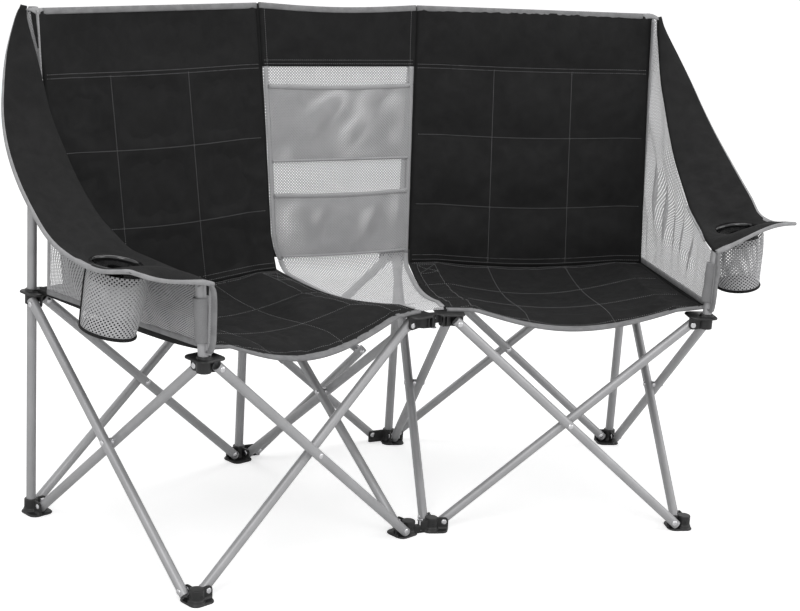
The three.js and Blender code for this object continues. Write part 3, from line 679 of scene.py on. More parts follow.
def settled(grid, pins):
    """A grid of points after it has come to rest as blown-out cloth that is held at its pins."""
    rows, columns = grid.shape[:2]
    shape = Shape()
    shape.add(grid, grid_faces(rows, columns))
    piece = shape.build("cloth_work", [])
    group = piece.vertex_groups.new(name="pins")
    group.add(np.flatnonzero(pins.ravel()).tolist(), 1.0, "REPLACE")
    cloth = piece.modifiers.new("cloth", "CLOTH")
    settings = cloth.settings
    settings.vertex_group_mass = "pins"
    settings.quality = 5
    settings.mass = 0.15
    settings.tension_stiffness = STIFFNESS
    settings.compression_stiffness = STIFFNESS
    settings.shear_stiffness = STIFFNESS / 3
    settings.bending_stiffness = 0.4
    settings.shrink_min = -GROWTH
    settings.effector_weights.gravity = 0
    settings.use_pressure = True
    settings.uniform_pressure_force = PRESSURE
    cloth.collision_settings.use_collision = False
    cloth.point_cache.frame_start = 1
    cloth.point_cache.frame_end = CLOTH_FRAMES
    for number in range(1, CLOTH_FRAMES + 1):
        bpy.context.scene.frame_set(number)
    graph = bpy.context.evaluated_depsgraph_get()
    mesh = piece.evaluated_get(graph).to_mesh()
    moved = np.zeros(rows * columns * 3)
    mesh.vertices.foreach_get("co", moved)
    piece.evaluated_get(graph).to_mesh_clear()
    data = piece.data
    bpy.data.objects.remove(piece)
    bpy.data.meshes.remove(data)
    bpy.context.scene.frame_set(1)
    shift = moved.reshape(grid.shape) - grid
    length = np.linalg.norm(shift, axis=2, keepdims=True)
    return grid + shift * np.minimum(1.0, MOST_SHIFT / np.maximum(length, 1e-9))


def declare_sheet(grid):
    """Works out the length of a grid's longest column, and keeps nothing of it."""
    length = max(lengths_along(column)[-1] for column in grid.transpose(1, 0, 2))


# Stitches, bindings and straps

STITCH_LENGTH = 3.0 * MM
STITCH_GAP = 1.3 * MM
STITCH_WIDTH = 1.2 * MM
STITCH_RISE = 0.8 * MM


def stitch(shape, path, tree, toward, number=0):
    """A row of stitches on a surface along a path."""
    path = np.asarray(path, float)
    total = lengths_along(path)[-1]
    step = STITCH_LENGTH + STITCH_GAP
    count = int(total // step)
    if count < 1:
        return
    along = lengths_along(path)
    places = (np.arange(count) + 0.5) * total / count
    middles = np.stack([np.interp(places, along, path[:, axis]) for axis in range(3)], axis=1)
    middles, normals = onto(tree, middles, toward)
    directions = unit(np.gradient(middles, axis=0)) if count > 1 else unit(path[-1:] - path[:1])
    sides = unit(np.cross(normals, directions))
    half = STITCH_LENGTH / 2
    corners = np.stack([
        middles - directions * half, middles + directions * half,
        middles + sides * STITCH_WIDTH / 2, middles - sides * STITCH_WIDTH / 2,
        middles + normals * STITCH_RISE, middles - normals * STITCH_RISE], axis=1)
    faces = []
    octahedron = ((0, 2, 4), (2, 1, 4), (1, 3, 4), (3, 0, 4), (2, 0, 5), (1, 2, 5), (3, 1, 5), (0, 3, 5))
    for at in range(count):
        faces += [[at * 6 + corner for corner in face] for face in octahedron]
    shape.add(corners, faces, number)


TAPE_STEP = 5 * MM
TAPE_PROUD = 1.2 * MM  # tape beyond the edge that it covers
STRAP_STEP = 6 * MM
BINDING_SECTION = (
    (1.0, 0.36), (0.82, 0.5), (0.45, 0.5), (0.2, 0.47), (0.06, 0.32), (0.0, 0.0),
    (0.06, -0.32), (0.2, -0.47), (0.45, -0.5), (0.82, -0.5), (1.0, -0.36),
)


def binding(name, edge, inward, normals, width=BINDING_WIDTH, thickness=BINDING_THICKNESS, material=None):
    """Tape folded over an edge: inward points from the edge into the cloth."""
    edge, inward, normals = resample(edge, TAPE_STEP, inward, normals)
    inward = unit(inward)
    normals = unit(normals - np.sum(normals * inward, axis=1, keepdims=True) * inward)
    start = edge - inward * TAPE_PROUD
    section = [(a * width, b * thickness) for a, b in BINDING_SECTION]
    piece = single(name, sweep(start, inward, normals, section), material or TAPE)
    weave_along(piece, start, [a for a, _ in section])
    return recalculate(piece)


def strap(name, path, normals, width, thickness=1.6 * MM, material=None):
    """A flat band of webbing that lies along a path."""
    path, normals = resample(np.asarray(path, float), STRAP_STEP, np.asarray(normals, float))
    direction = tangents(path)
    sides = unit(np.cross(direction, normals))
    ups = np.cross(sides, direction)
    half = width / 2
    section = [(-half, 0), (-half * 0.94, thickness / 2), (half * 0.94, thickness / 2), (half, 0),
               (half * 0.94, -thickness / 2), (-half * 0.94, -thickness / 2)]
    piece = single(name, sweep(path, sides, ups, section), material or STRAP)
    weave_along(piece, path, [a for a, _ in section])
    return recalculate(piece)


# Frame tubes

def tube_surface(shape, low, high):
    """An open tube with slightly rounded ends."""
    radius = TUBE_RADIUS
    direction = high - low
    length = float(np.linalg.norm(direction))
    bore = radius - TUBE_WALL
    edge = TUBE_WALL / 4
    profile = [(bore, edge), (bore + edge, 0), (radius - edge, 0), (radius, edge)]
    for share in (0.25, 0.5, 0.75):
        profile.append((radius, length * share))
    profile += [(radius, length - edge), (radius - edge, length), (bore + edge, length),
                (bore, length - edge)]
    shape.add(*round_piece(profile, low, direction, 32, closed=True))


def dome_profile(radius, height, rings=6):
    """A rivet head: a low dome over a short straight rim."""
    rim = height * 0.18
    profile = [(0, 0), (radius, 0), (radius, rim)]
    for number in range(1, rings):
        angle = number * math.pi / (2 * rings)
        profile.append((radius * math.cos(angle), rim + (height - rim) * math.sin(angle)))
    return profile + [(0, height)]


def rivet_head(shape, place, direction, number, sink=0.0):
    direction = unit(np.asarray(direction, float))
    profile = dome_profile(RIVET_RADIUS, RIVET_HEIGHT + sink)
    shape.add(*round_piece(profile, place - direction * sink, direction, 24), number)


def washer(shape, low, high, number):
    radius = WASHER_RADIUS
    length = float(np.linalg.norm(high - low))
    edge = min(0.3 * MM, length / 4)
    profile = [(0, 0), (radius - edge, 0), (radius, edge), (radius, length - edge),
               (radius - edge, length), (0, length)]
    shape.add(*round_piece(profile, low, high - low, 24), number)


def frame_tube(name, ends, crossings, ears, normal, side):
    """A tube beside the plane of its edge, with its rivets: side is 1 or -1 along the normal."""
    low, high = ends
    direction = unit(high - low)
    offset = normal * side * TUBE_OFFSET
    shape = Shape()
    tube_surface(shape, low + offset - direction * TUBE_REACH, high + offset + direction * TUBE_REACH)
    outward = normal * side
    face = outward * TUBE_RADIUS
    for place in ears:
        rivet_head(shape, place + offset + face, outward, 1, sink=RIVET_SINK)
        rivet_head(shape, place - outward * EAR_THICKNESS / 2, -outward, 1)
        washer(shape, place + outward * EAR_THICKNESS / 2, place + offset - face * 0.9, 1)
    for place in crossings:
        rivet_head(shape, place + offset + face, outward, 1, sink=RIVET_SINK)
        washer(shape, place, place + offset - face * 0.9, 1)
    piece = auto_smooth(shape.build(name, [TUBE, STEEL]))
    return dress(piece, body_of_node[name], "grey_tube", name)


body_of_node = {
    node: body
    for body, members in frame["record"]["behaviour"]["bodies"].items()
    for node in members
}


def low_end(node):
    """The middle of a tube's lowest points."""
    points = np.array([vertex.co for vertex in frame["nodes"][node].data.vertices])
    lowest = points[:, 2] < points[:, 2].min() + 3 * TUBE_RADIUS
    return points[lowest].mean(axis=0)


EDGES = (
    ("front", "front_inner", "front_outer"),
    ("side", "front_outer", "rear_outer"),
    ("back", "rear_inner", "rear_outer"),
    ("inner", "front_inner", "rear_inner"),
)


def raised(place, height):
    return np.array([place[0], place[1], height])


def chair_tubes(chair):
    middle = chair.at(SPACING / 2, SPACING / 2, 0)
    for edge, first, second in EDGES:
        corners = [chair.corner(first), chair.corner(second)]
        run = unit(corners[1] - corners[0])
        normal = unit(np.cross(run, UP))
        if np.dot(normal, corners[0] - middle) < 0:
            normal = -normal
        for word, side in (("outside", 1), ("inside", -1)):
            name = f"{chair.side}_{edge}_{word}_tube"
            foot = low_end(name)
            flip = np.linalg.norm(foot[:2] - corners[0][:2]) > np.linalg.norm(foot[:2] - corners[1][:2])
            start, end = corners[::-1] if flip else corners
            way = unit(end - start)
            low = raised(start + way * PIVOT_REACH, FOOT_PIVOT)
            high = raised(end - way * PIVOT_REACH, HUB_PIVOT)
            frame_tube(name, (low, high), [(low + high) / 2], [low, high], normal, side)


def middle_tubes():
    """The two-level scissor behind the middle panel."""
    toe_in = abs(float(chairs[1].out[1]))
    run = math.hypot(SPACING - 2 * PIVOT_REACH, HUB_PIVOT - FOOT_PIVOT)
    rise = (HUB_PIVOT - FOOT_PIVOT) / run
    span = (SPACING - 2 * PIVOT_REACH) / run
    long_arm = run * toe_in
    short_arm = run / 2 - long_arm
    plane = chairs[0].corner("rear_inner")[1]
    half = (FOOT_PIVOT + HUB_PIVOT) / 2

    def place(x, height):
        return np.array([x * span, plane, height])

    lower = place(0, FOOT_PIVOT + long_arm * rise)
    upper = place(0, HUB_PIVOT - long_arm * rise)
    front = np.array([0.0, -1.0, 0.0])
    tubes = (
        ("middle_lower_front_tube", -long_arm, FOOT_PIVOT, short_arm, half, lower, 1),
        ("middle_lower_rear_tube", long_arm, FOOT_PIVOT, -short_arm, half, lower, -1),
        ("middle_upper_front_tube", -short_arm, half, long_arm, HUB_PIVOT, upper, 1),
        ("middle_upper_rear_tube", short_arm, half, -long_arm, HUB_PIVOT, upper, -1),
    )
    for name, low_x, low_height, high_x, high_height, crossing, side in tubes:
        low = place(low_x, low_height)
        high = place(high_x, high_height)
        ear, joint = (low, high) if "lower" in name else (high, low)
        frame_tube(name, (low, high), [crossing, joint], [ear], front, side)


for chair in chairs:
    chair_tubes(chair)
middle_tubes()


POST_LEAN = 7 * MM  # the arm pulls the top of its post out and back


def post_place(chair, height):
    """A place on the axis of the arm post."""
    share = (height - COLLAR_TOP) / (ARM_HEIGHT - COLLAR_TOP)
    return raised(chair.corner("front_outer") + (chair.out + chair.back) * POST_LEAN * share, height)


def upright_tubes():
    """The back poles and the arm posts."""
    for chair in chairs:
        for word in ("outer_pole", "inner_pole", "arm_post"):
            name = f"{chair.side}_{word}"
            low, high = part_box(name)
            axis = centre(name)
            shape = Shape()
            top = post_place(chair, high[2]) if word == "arm_post" else raised(axis, high[2])
            tube_surface(shape, raised(axis, low[2]), top)
            piece = auto_smooth(shape.build(name, [TUBE, STEEL]))
            dress(piece, body_of_node[name], "grey_tube", name)


upright_tubes()


# Feet and hubs

RIBS = 2
RIB_FRONT = -19 * MM
RIB_REAR = 8 * MM
RIB_LOW = COLLAR_LOW + 2 * MM
RIB_SPACING = 8 * MM
RIB_THICKNESS = 3 * MM
HOLE_HEIGHT = 16 * MM
HOLE_SINK = 0.6 * MM
HOLE_TURNS = (-0.9, 0.9)
HOLE_PROFILE = np.array([(0, 0), (2.6, 0), (2.6, 0.75), (1.9, 0.75), (1.7, 0.3), (0, 0.3)]) * MM
PIN_HEAD = 1.8 * MM
PIN_RADIUS = 4 * MM
PIN_HEAD_RADIUS = 6 * MM
MOULD_GRAIN = 0.9 * MM
MOULD_SMOOTHING = 3


def prism_faces(count):
    """The faces of a solid between two outlines with the same number of points."""
    faces = [list(range(count))[::-1], list(range(count, 2 * count))]
    for number in range(count):
        following = (number + 1) % count
        faces.append([number, following, count + following, count + number])
    return faces


def slab(outline, low, high):
    """A solid between two heights over a closed outline of (x, y) points."""
    points = [(x, y, low) for x, y in outline] + [(x, y, high) for x, y in outline]
    return points, prism_faces(len(outline))


def round_square(middle, first, second, size, corner, steps=8):
    """The outline of a square with round corners, its sides along two directions."""
    reach = size / 2 - corner
    outline = []
    for quarter in range(4):
        angle = quarter * math.pi / 2
        centre_x = reach * (1 if quarter in (0, 3) else -1)
        centre_y = reach * (1 if quarter in (0, 1) else -1)
        for step in range(steps + 1):
            turn = angle + step * math.pi / (2 * steps)
            place = (middle + first * (centre_x + corner * math.cos(turn))
                     + second * (centre_y + corner * math.sin(turn)))
            outline.append((place[0], place[1]))
    return outline


def wall(outline, base, direction, thickness):
    """A solid plate on edge: its outline is (reach along the direction, height)."""
    normal = unit(np.cross(direction, UP))
    points = []
    for side in (-1, 1):
        for reach, height in outline:
            place = raised(base, 0) + direction * reach + UP * height
            points.append(place + normal * side * thickness / 2)
    return points, prism_faces(len(outline))


def moulded(shape, name):
    """The shape's overlapping solids as one moulded surface with soft inner and outer corners."""
    piece = shape.build(name, [PLASTIC])
    recalculate(piece)
    remesh = piece.modifiers.new("remesh", "REMESH")
    remesh.mode = "VOXEL"
    remesh.voxel_size = MOULD_GRAIN
    soften = piece.modifiers.new("soften", "SMOOTH")
    soften.factor = 0.5
    soften.iterations = MOULD_SMOOTHING
    thin = piece.modifiers.new("thin", "DECIMATE")
    thin.ratio = 0.35
    evaluated(piece)
    piece.data.polygons.foreach_set("use_smooth", [True] * len(piece.data.polygons))
    return piece


def ear_corner(reach, pivot, start):
    """The round end of an ear: a quarter turn about its pivot from the start angle."""
    turns = start + np.arange(1, EAR_STEPS + 1) * math.pi / (2 * EAR_STEPS)
    return [(reach + EAR_MARGIN * math.cos(turn), pivot + EAR_MARGIN * math.sin(turn)) for turn in turns]


def foot_outline(reach):
    """The outline of a foot's ear, which stands on its plate."""
    end = reach + EAR_MARGIN
    return [(0, RIM), (end, RIM), (end, FOOT_PIVOT), *ear_corner(reach, FOOT_PIVOT, 0),
            (0, FOOT_PIVOT + EAR_MARGIN)]


def hub_outline(reach):
    """The outline of a hub's ear, which hangs from its plate."""
    return [(0, HUB_PLATE_LOW), (0, COLLAR_LOW), (reach, HUB_PIVOT - EAR_MARGIN),
            *ear_corner(reach, HUB_PIVOT, -math.pi / 2), (reach + EAR_MARGIN, HUB_PLATE_LOW)]


MIDDLE_REACH = MIDDLE_GAP / 2 + 2 * PIVOT_REACH * abs(float(chairs[1].out[1]))


def corner_ears(chair, corner):
    """Directions and reaches of a corner's ears, one towards each tube pivot beside it."""
    ears = [(way, PIVOT_REACH) for way in chair.neighbours(corner)]
    if corner == "rear_inner":
        ears.append((np.array([-chair.outward, 0.0, 0.0]), MIDDLE_REACH))
    return ears


def stepped_plate(shape, chair, corner, size, lower, upper):
    """A square plate with round corners and a narrower upper part, each with its two heights."""
    first, second = chair.neighbours(corner)
    middle = chair.corner(corner) + PLATE_SHIFT * (first + second)
    for inset, heights in ((0, lower), (PLATE_STEP, upper)):
        outline = round_square(middle, first, second, size - 2 * inset, PLATE_CORNER - inset)
        shape.add(*slab(outline, *heights))


def foot_piece(chair, corner):
    """A foot with its plate, socket and ears, and between the chairs with half of the hinge."""
    name = f"{chair.side}_{corner}_foot"
    axis = chair.corner(corner)
    first, second = chair.neighbours(corner)
    shape = Shape()
    stepped_plate(shape, chair, corner, FOOT_SIZE, (0, FOOT_PLATE * 0.55), (FOOT_PLATE * 0.3, FOOT_PLATE))
    socket = [(0, RIM), (SOCKET_RADIUS, RIM), (SOCKET_RADIUS, SOCKET_HEIGHT - RIM),
              (SOCKET_RADIUS - CHAMFER, SOCKET_HEIGHT), (0, SOCKET_HEIGHT)]
    root = [(0, RIM), (SOCKET_RADIUS + BRACE, RIM), (SOCKET_RADIUS + RIM, ROOT_HEIGHT),
            (0, ROOT_HEIGHT + BRACE)]
    for profile in (socket, root):
        shape.add(*round_piece(profile, axis, UP, 40))
    for way, reach in corner_ears(chair, corner):
        shape.add(*wall(foot_outline(reach), axis, way, EAR_THICKNESS))
        top = FOOT_PLATE + BRACE_RISE
        brace = [(0, RIM), (reach + EAR_MARGIN - RIM, RIM), (reach + EAR_MARGIN - BRACE, top), (0, top)]
        shape.add(*wall(brace, axis, way, EAR_THICKNESS + BRACE))
    if "front_inner" in corner:
        shape.add(*hinge_half(axis, *hinge_heights(name)))
    piece = moulded(shape, name)
    dress(piece, body_of_node[name], "black_plastic", name)
    # Shallow discs mark the socket's pin holes, coloured near black as painted shade of the holes.
    details = Shape()
    outward = unit(-(first + second))
    for turn in HOLE_TURNS:
        way = unit(outward * math.cos(turn) + np.cross(UP, outward) * math.sin(turn))
        place = axis + way * (SOCKET_RADIUS - HOLE_SINK) + UP * HOLE_HEIGHT
        details.add(*round_piece(HOLE_PROFILE, place, way, 20))
    hole = auto_smooth(details.build(f"{name}_pin_holes", [HOLE]))
    dress(hole, body_of_node[name], "black_plastic")


def hinge_heights(name):
    """The lowest and highest faces of a corner's own hinge eye."""
    points = np.array([vertex.co for vertex in frame["nodes"][name].data.vertices])
    eye = np.linalg.norm(points[:, :2] - hinge_axis()[:2], axis=1) < HINGE_EYE * 1.05
    heights = points[eye][:, 2]
    return heights.min(), heights.max()


def hinge_axis():
    return (chairs[0].corner("front_inner") + chairs[1].corner("front_inner")) / 2


def hinge_half(axis, low, high):
    """An arm from the corner axis to the pin of the hinge between the two chairs, with its eye."""
    pin = hinge_axis()
    way = unit(pin - axis)
    side = np.cross(UP, way)
    half = HINGE_EYE * 0.62
    outline = [axis - side * half, pin - side * half, pin + side * half, axis + side * half]
    return slab([(point[0], point[1]) for point in outline], low, high)


def hub_piece(chair, corner):
    """A hub with its plate, collar and ears, and between the chairs with half of the hinge."""
    name = f"{chair.side}_{corner}_hub"
    axis = chair.corner(corner)
    is_middle = corner == "front_inner"
    top = HUB_PLATE_TOP if is_middle else COLLAR_TOP
    shape = Shape()
    stepped_plate(shape, chair, corner, HUB_SIZE, (HUB_PLATE_LOW, HUB_PLATE_TOP - RIM),
                  (HUB_PLATE_LOW + RIM, HUB_PLATE_TOP))
    collar = [(0, COLLAR_LOW), (COLLAR_RADIUS, COLLAR_LOW), (COLLAR_RADIUS, top - CHAMFER),
              (COLLAR_RADIUS - CHAMFER, top), (0, top)]
    shape.add(*round_piece(collar, raised(axis, 0), UP, 40))
    for way, reach in corner_ears(chair, corner):
        shape.add(*wall(hub_outline(reach), axis, way, EAR_THICKNESS))
        brace = [(0, HUB_PLATE_LOW), (0, HUB_PIVOT + EAR_MARGIN), (reach, HUB_PIVOT + EAR_MARGIN),
                 (reach + EAR_MARGIN, HUB_PLATE_LOW)]
        shape.add(*wall(brace, axis, way, EAR_THICKNESS + BRACE))
    if is_middle:
        shape.add(*hinge_half(axis, *hinge_heights(name)))
        rib = [(RIB_FRONT, RIB_LOW), (RIB_FRONT, HUB_PLATE_LOW), (RIB_REAR, HUB_PLATE_LOW),
               (RIB_REAR, RIB_LOW)]
        for number in range(RIBS):
            base = axis + unit(hinge_axis() - axis) * number * RIB_SPACING
            shape.add(*wall(rib, base, chair.back, RIB_THICKNESS))
    piece = moulded(shape, name)
    dress(piece, body_of_node[name], "black_plastic", name)


for chair in chairs:
    for corner in CORNERS:
        foot_piece(chair, corner)
        hub_piece(chair, corner)


def hinge_pins():
    for name in ("foot_hinge_pin", "hub_hinge_pin"):
        low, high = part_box(name)
        axis = raised(hinge_axis(), low[2])
        height = high[2] - low[2]
        wide = PIN_HEAD_RADIUS
        profile = [(0, 0), (5 * MM, 0), (wide, 0.5 * MM), (wide, PIN_HEAD), (PIN_RADIUS, PIN_HEAD),
                   (PIN_RADIUS, height - PIN_HEAD), (wide, height - PIN_HEAD), (wide, height - 0.7 * MM),
                   (4.4 * MM, height - 0.1 * MM), (0, height)]
        piece = single(name, round_piece(profile, axis, UP, 32), STEEL)
        dress(auto_smooth(piece), body_of_node[name], "bright_steel", name)


hinge_pins()


# Seats

FINE = 6.5 * MM  # cloth grid
SEAT_PUFF = 0.7 * PUFF
STRAP_NEAR = 14 * MM
STRAP_FAR = 52 * MM
STRAP_BOX_SHARE = 0.09
NOTCH_ROOM = 2 * MM  # between the cloth and a hub collar
FRONT_TAPE = (14 * MM, 6.4 * MM)  # width and thickness
SIDE_TAPE = (10 * MM, 6.2 * MM)
TOP_TAPE = (12 * MM, 7 * MM)
SEAT_WIDTH = SPACING - 2 * SEAT_INSET
SEAT_REAR = (BACK_LEAN - SEAT_INSET) / SEAT_WIDTH
FRONT_DROPS = {"left": 26 * MM, "right": 3 * MM}  # the front edge hangs lower near the middle


def sag_share(share):
    from_end = 0.5 - np.abs(np.asarray(share, float) - 0.5)
    return np.sin(np.clip((from_end - FLAT_SHARE) / (0.5 - FLAT_SHARE), 0, 1) * math.pi / 2)


def seat_underside(u, v):
    inner = INNER_SAG * sag_share(v) * (1 - u) ** 2
    front = FRONT_SAG * sag_share(u) * v ** 3
    middle = SEAT_SAG * sag_share(u) * sag_share(v) * (1 - v ** 3)
    lift = FRONT_LIFT * u ** 6 * v ** 6
    return SEAT_HEIGHT + lift - inner - front - middle


def seat_place(chair, u, v, above=0.0):
    """A place on the seat at the shares u, from inner to outer, and v, from rear to front."""
    u, v = np.broadcast_arrays(np.asarray(u, float), np.asarray(v, float))
    pull = FRONT_PULL * sag_share(u) * v ** 6
    drop = FRONT_DROPS[chair.side] * sag_share(u) * (1 - u) * v ** 4
    return chair.at(SEAT_INSET + u * SEAT_WIDTH, SEAT_INSET + pull + (1 - v) * SEAT_WIDTH,
                    seat_underside(u, v) - drop + above)


def even(low, high, step):
    return np.linspace(low, high, max(2, int(round((high - low) / step)) + 1))


def cells_between(lines, step):
    """Shares that hit every line and are about a step apart between them."""
    parts = [even(low, high, step)[:-1] for low, high in zip(lines, lines[1:])]
    return np.concatenate(parts + [[lines[-1]]])


def on_lines(values, lines):
    return np.isclose(values[:, None], np.asarray(lines)[None, :]).any(axis=1)


def crown_between(values, lines):
    """0 on the lines and 1 half way between them."""
    lines = np.asarray(lines)
    number = np.clip(np.searchsorted(lines, values, side="right") - 1, 0, len(lines) - 2)
    share = (values - lines[number]) / (lines[number + 1] - lines[number])
    return np.sin(np.clip(share, 0, 1) * math.pi)


def puffed(grid, normals, crown, pinned, height):
    """The outer layer of a quilted pad: cloth held on its stitch lines and blown out between them."""
    start = grid + normals * (crown * height * 0.5)[..., None]
    free = settled(start, pinned)
    return mix(start, free, np.sqrt(crown)[..., None])


def round_collars(chair, grid, corners):
    """Moves the points that would meet a hub collar out to a rounded notch around it."""
    notch = COLLAR_RADIUS + NOTCH_ROOM
    for corner in corners:
        axis = chair.corner(corner)
        away = grid - raised(axis, 0)
        away[..., 2] = 0
        middle = chair.at(SPACING / 2, SPACING / 2, 0)
        distance = np.linalg.norm(away, axis=-1, keepdims=True)
        inward = unit(middle - axis)
        way = np.where(distance < 1e-6, inward, away / np.maximum(distance, 1e-9))
        reach = np.maximum(distance, notch + 0.25 * distance * (distance < notch))
        moved = raised(axis, 0) + way * reach
        near = distance < notch * 1.3
        grid[..., :2] = np.where(near, moved, grid)[..., :2]
    return grid


class Fold:
    """How a cloth part goes along when the frame folds: its body; the axis, anchor and keep for
    flattening are not used.
    """

    def __init__(self, body, axis, anchor, keep):
        self.body = body
        self.axis = axis
        self.anchor = anchor
        self.keep = keep

    def take(self, piece, slot, *nodes):
        dress(piece, self.body, slot, *nodes)
        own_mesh(piece)
        return piece


QUILT_SHARES = [SEAT_REAR + (1 - SEAT_REAR) * number / QUILT_CELLS for number in range(QUILT_CELLS + 1)]
COLUMN_SHARES = [number / QUILT_CELLS for number in range(QUILT_CELLS + 1)]
HEM_SHARE = 0.955
SEAT_SPLIT = QUILT_SHARES[1]


def seat_folds(chair):
    """The front part goes with the inner tube up to the front hub, the rear part with the other."""
    tubes = [f"{chair.side}_inner_{word}_tube" for word in ("outside", "inside")]
    rear = chair.corner("rear_inner")
    tubes.sort(key=lambda name: np.linalg.norm(low_end(name)[:2] - rear[:2]))
    anchor = chair.at(0, SPACING / 2, SEAT_HEIGHT)
    return [Fold(tube, chair.out, anchor, 0.22) for tube in tubes]


def seat_pieces(chair):
    front_fold, rear_fold = seat_folds(chair)
    across = cells_between(COLUMN_SHARES, FINE / SEAT_WIDTH)
    along = cells_between([0.0] + QUILT_SHARES, FINE / SEAT_WIDTH)
    u, v = np.meshgrid(across, along)
    top = seat_place(chair, u, v, SEAM)
    low = seat_place(chair, u, v)
    rows = [0.0] + QUILT_SHARES
    crown = np.sqrt(np.outer(crown_between(along, rows), crown_between(across, COLUMN_SHARES)))
    crown[along < SEAT_REAR] = 0
    pinned = on_lines(along, rows)[:, None] | on_lines(across, COLUMN_SHARES)[None, :]
    pinned |= (along < SEAT_REAR)[:, None]
    normals = grid_normals(top, UP)
    top = puffed(top, normals, crown, pinned, SEAT_PUFF)
    round_collars(chair, top, CORNERS[1:])
    round_collars(chair, low, CORNERS[1:])
    split = int(np.argmin(np.abs(along - SEAT_SPLIT)))
    made = []
    parts = (("rear", rear_fold, slice(0, split + 1)), ("front", front_fold, slice(split, None)))
    for word, fold, part in parts:
        piece = single(f"{chair.side}_seat_{word}", closed_sheet(top[part], low[part]), CLOTH)
        recalculate(piece)
        fold.take(piece, "black_fabric", f"{chair.side}_seat")
        made.append(piece)
    return made, (rear_fold, front_fold)


def stitch_piece(name, tree, rows, toward):
    shape = Shape()
    for row in rows:
        stitch(shape, row, tree, toward)
    return shape.build(name, [THREAD])


def seat_stitches(chair, made, folds):
    """Quilt lines, the front hem and the outline of the strap under the seat, in both parts."""
    strap_near = STRAP_NEAR / SEAT_WIDTH
    strap_far = STRAP_FAR / SEAT_WIDTH
    box = STRAP_BOX_SHARE
    start = SEAT_REAR + 0.03
    lines = []
    for share in COLUMN_SHARES[1:-1]:
        lines.append(((share, SEAT_REAR), (share, 1 - 0.02)))
    for share in QUILT_SHARES[1:-1]:
        lines.append(((0.01, share), (0.99, share)))
    for offset in (0.008, 0.02):
        lines.append(((0.0, SEAT_REAR + offset), (1.0, SEAT_REAR + offset)))
    lines.append(((0.06, HEM_SHARE), (0.94, HEM_SHARE)))
    for share in (strap_near, strap_far):
        lines.append(((share, start), (share, 0.96)))
    for place in (start, start + box):
        lines.append(((strap_near, place), (strap_far, place)))
    lines.append(((strap_near, start), (strap_far, start + box)))
    lines.append(((strap_far, start), (strap_near, start + box)))
    spans = ((0.0, SEAT_SPLIT), (SEAT_SPLIT, 1.0))
    for piece, fold, (low, high) in zip(made, folds, spans):
        tree = tree_of(piece)
        rows = []
        for (u0, v0), (u1, v1) in lines:
            u = np.linspace(u0, u1, 60)
            v = np.linspace(v0, v1, 60)
            inside = (v >= low - 1e-6) & (v < high - 1e-6)
            if inside.sum() > 1:
                rows.append(seat_place(chair, u[inside], v[inside], SEAM))
        stitches = stitch_piece(f"{piece.name}_stitches", tree, rows, UP)
        fold.take(stitches, "light_mesh")


def seat_edge_tape(chair, folds):
    """Grey tape along the front edge and, behind it, both side edges."""
    count = 90
    u = np.linspace(0, 1, count)
    front_fold = folds[1]
    edge = seat_place(chair, u, np.ones(count), SEAM / 2)
    inward = seat_place(chair, u, np.full(count, 0.97), SEAM / 2) - edge
    ups = np.tile(UP, (count, 1))
    tape = binding(f"{chair.side}_seat_front_binding", edge, inward, ups, *FRONT_TAPE)
    front_fold.take(tape, "light_mesh")
    spans = (("rear", folds[0], 0.05, SEAT_SPLIT), ("front", folds[1], SEAT_SPLIT, 0.97))
    for word, fold, low, high in spans:
        for name, at, other in (("inner", 0.0, 0.03), ("outer", 1.0, 0.97)):
            if name == "outer" and word == "front":
                high = 0.93
            v = np.linspace(low, high, 60)
            edge = seat_place(chair, np.full(60, at), v, SEAM / 2)
            inward = seat_place(chair, np.full(60, other), v, SEAM / 2) - edge
            tape = binding(f"{chair.side}_seat_{name}_{word}_binding", edge, inward, np.tile(UP, (60, 1)),
                           *SIDE_TAPE, STRAP)
            fold.take(tape, "black_fabric")


for chair in chairs:
    seats, folds = seat_pieces(chair)
    seat_stitches(chair, seats, folds)
    seat_edge_tape(chair, folds)


# Backs

BACK_ROWS = [0.0, 0.23, 0.503, 1 - BAND_SHARE, 1.0]
BACK_COLUMN_SHARES = {"left": [0.0, 0.365, 0.72, 1.0], "right": COLUMN_SHARES}
CREASE_SHARE = 0.055  # fold in the top band beside each pole
BACK_FLARES = {"left": 12 * MM, "right": 3 * MM}  # outer top corner beyond its pole
WAIST_SHARES = (0, 0.14, 0.34, 0.58, 1)  # up the back
BACK_WAISTS = {"left": np.array([6, 16, 13, 9, 5]) * MM, "right": np.zeros(5)}  # inner edge drawn outward
BACK_RISES = {"left": (-2 * MM, -6 * MM), "right": (-1 * MM, 5 * MM)}  # inner and outer top corner


def back_offset(share):
    return mix(BACK_LEAN, BACK_TOP, share)


def back_foot(u):
    return seat_underside(np.asarray(u, float), SEAT_REAR) + SEAM


def back_place(chair, u, v, forward=0.0):
    """A place on the back's rear face at the shares u, from inner to outer, and v, from the foot up."""
    u, v = np.broadcast_arrays(np.asarray(u, float), np.asarray(v, float))
    inner, outer = BACK_RISES[chair.side]
    height = mix(back_foot(u), BACK_HEIGHT + mix(inner, outer, u), v)
    flare = BACK_FLARES[chair.side] * smooth_share((v - BACK_ROWS[-2]) / BAND_SHARE) * u ** 8
    waist = back_waist(chair, v) * (1 - u) ** 4
    place = chair.at(SEAT_INSET + u * SEAT_WIDTH + flare + waist, SPACING - back_offset(v), height)
    return place + forward * back_normal(chair)


def back_waist(chair, v):
    return np.interp(v, WAIST_SHARES, BACK_WAISTS[chair.side])


def back_normal(chair):
    rise = BACK_HEIGHT - SEAT_HEIGHT
    lean = BACK_LEAN - BACK_TOP
    return unit(-chair.back * rise + UP * lean)


def back_fold(chair):
    return Fold(f"{chair.side}_rear_outer_foot", chair.out, chair.corner("rear_outer"), 0.22)


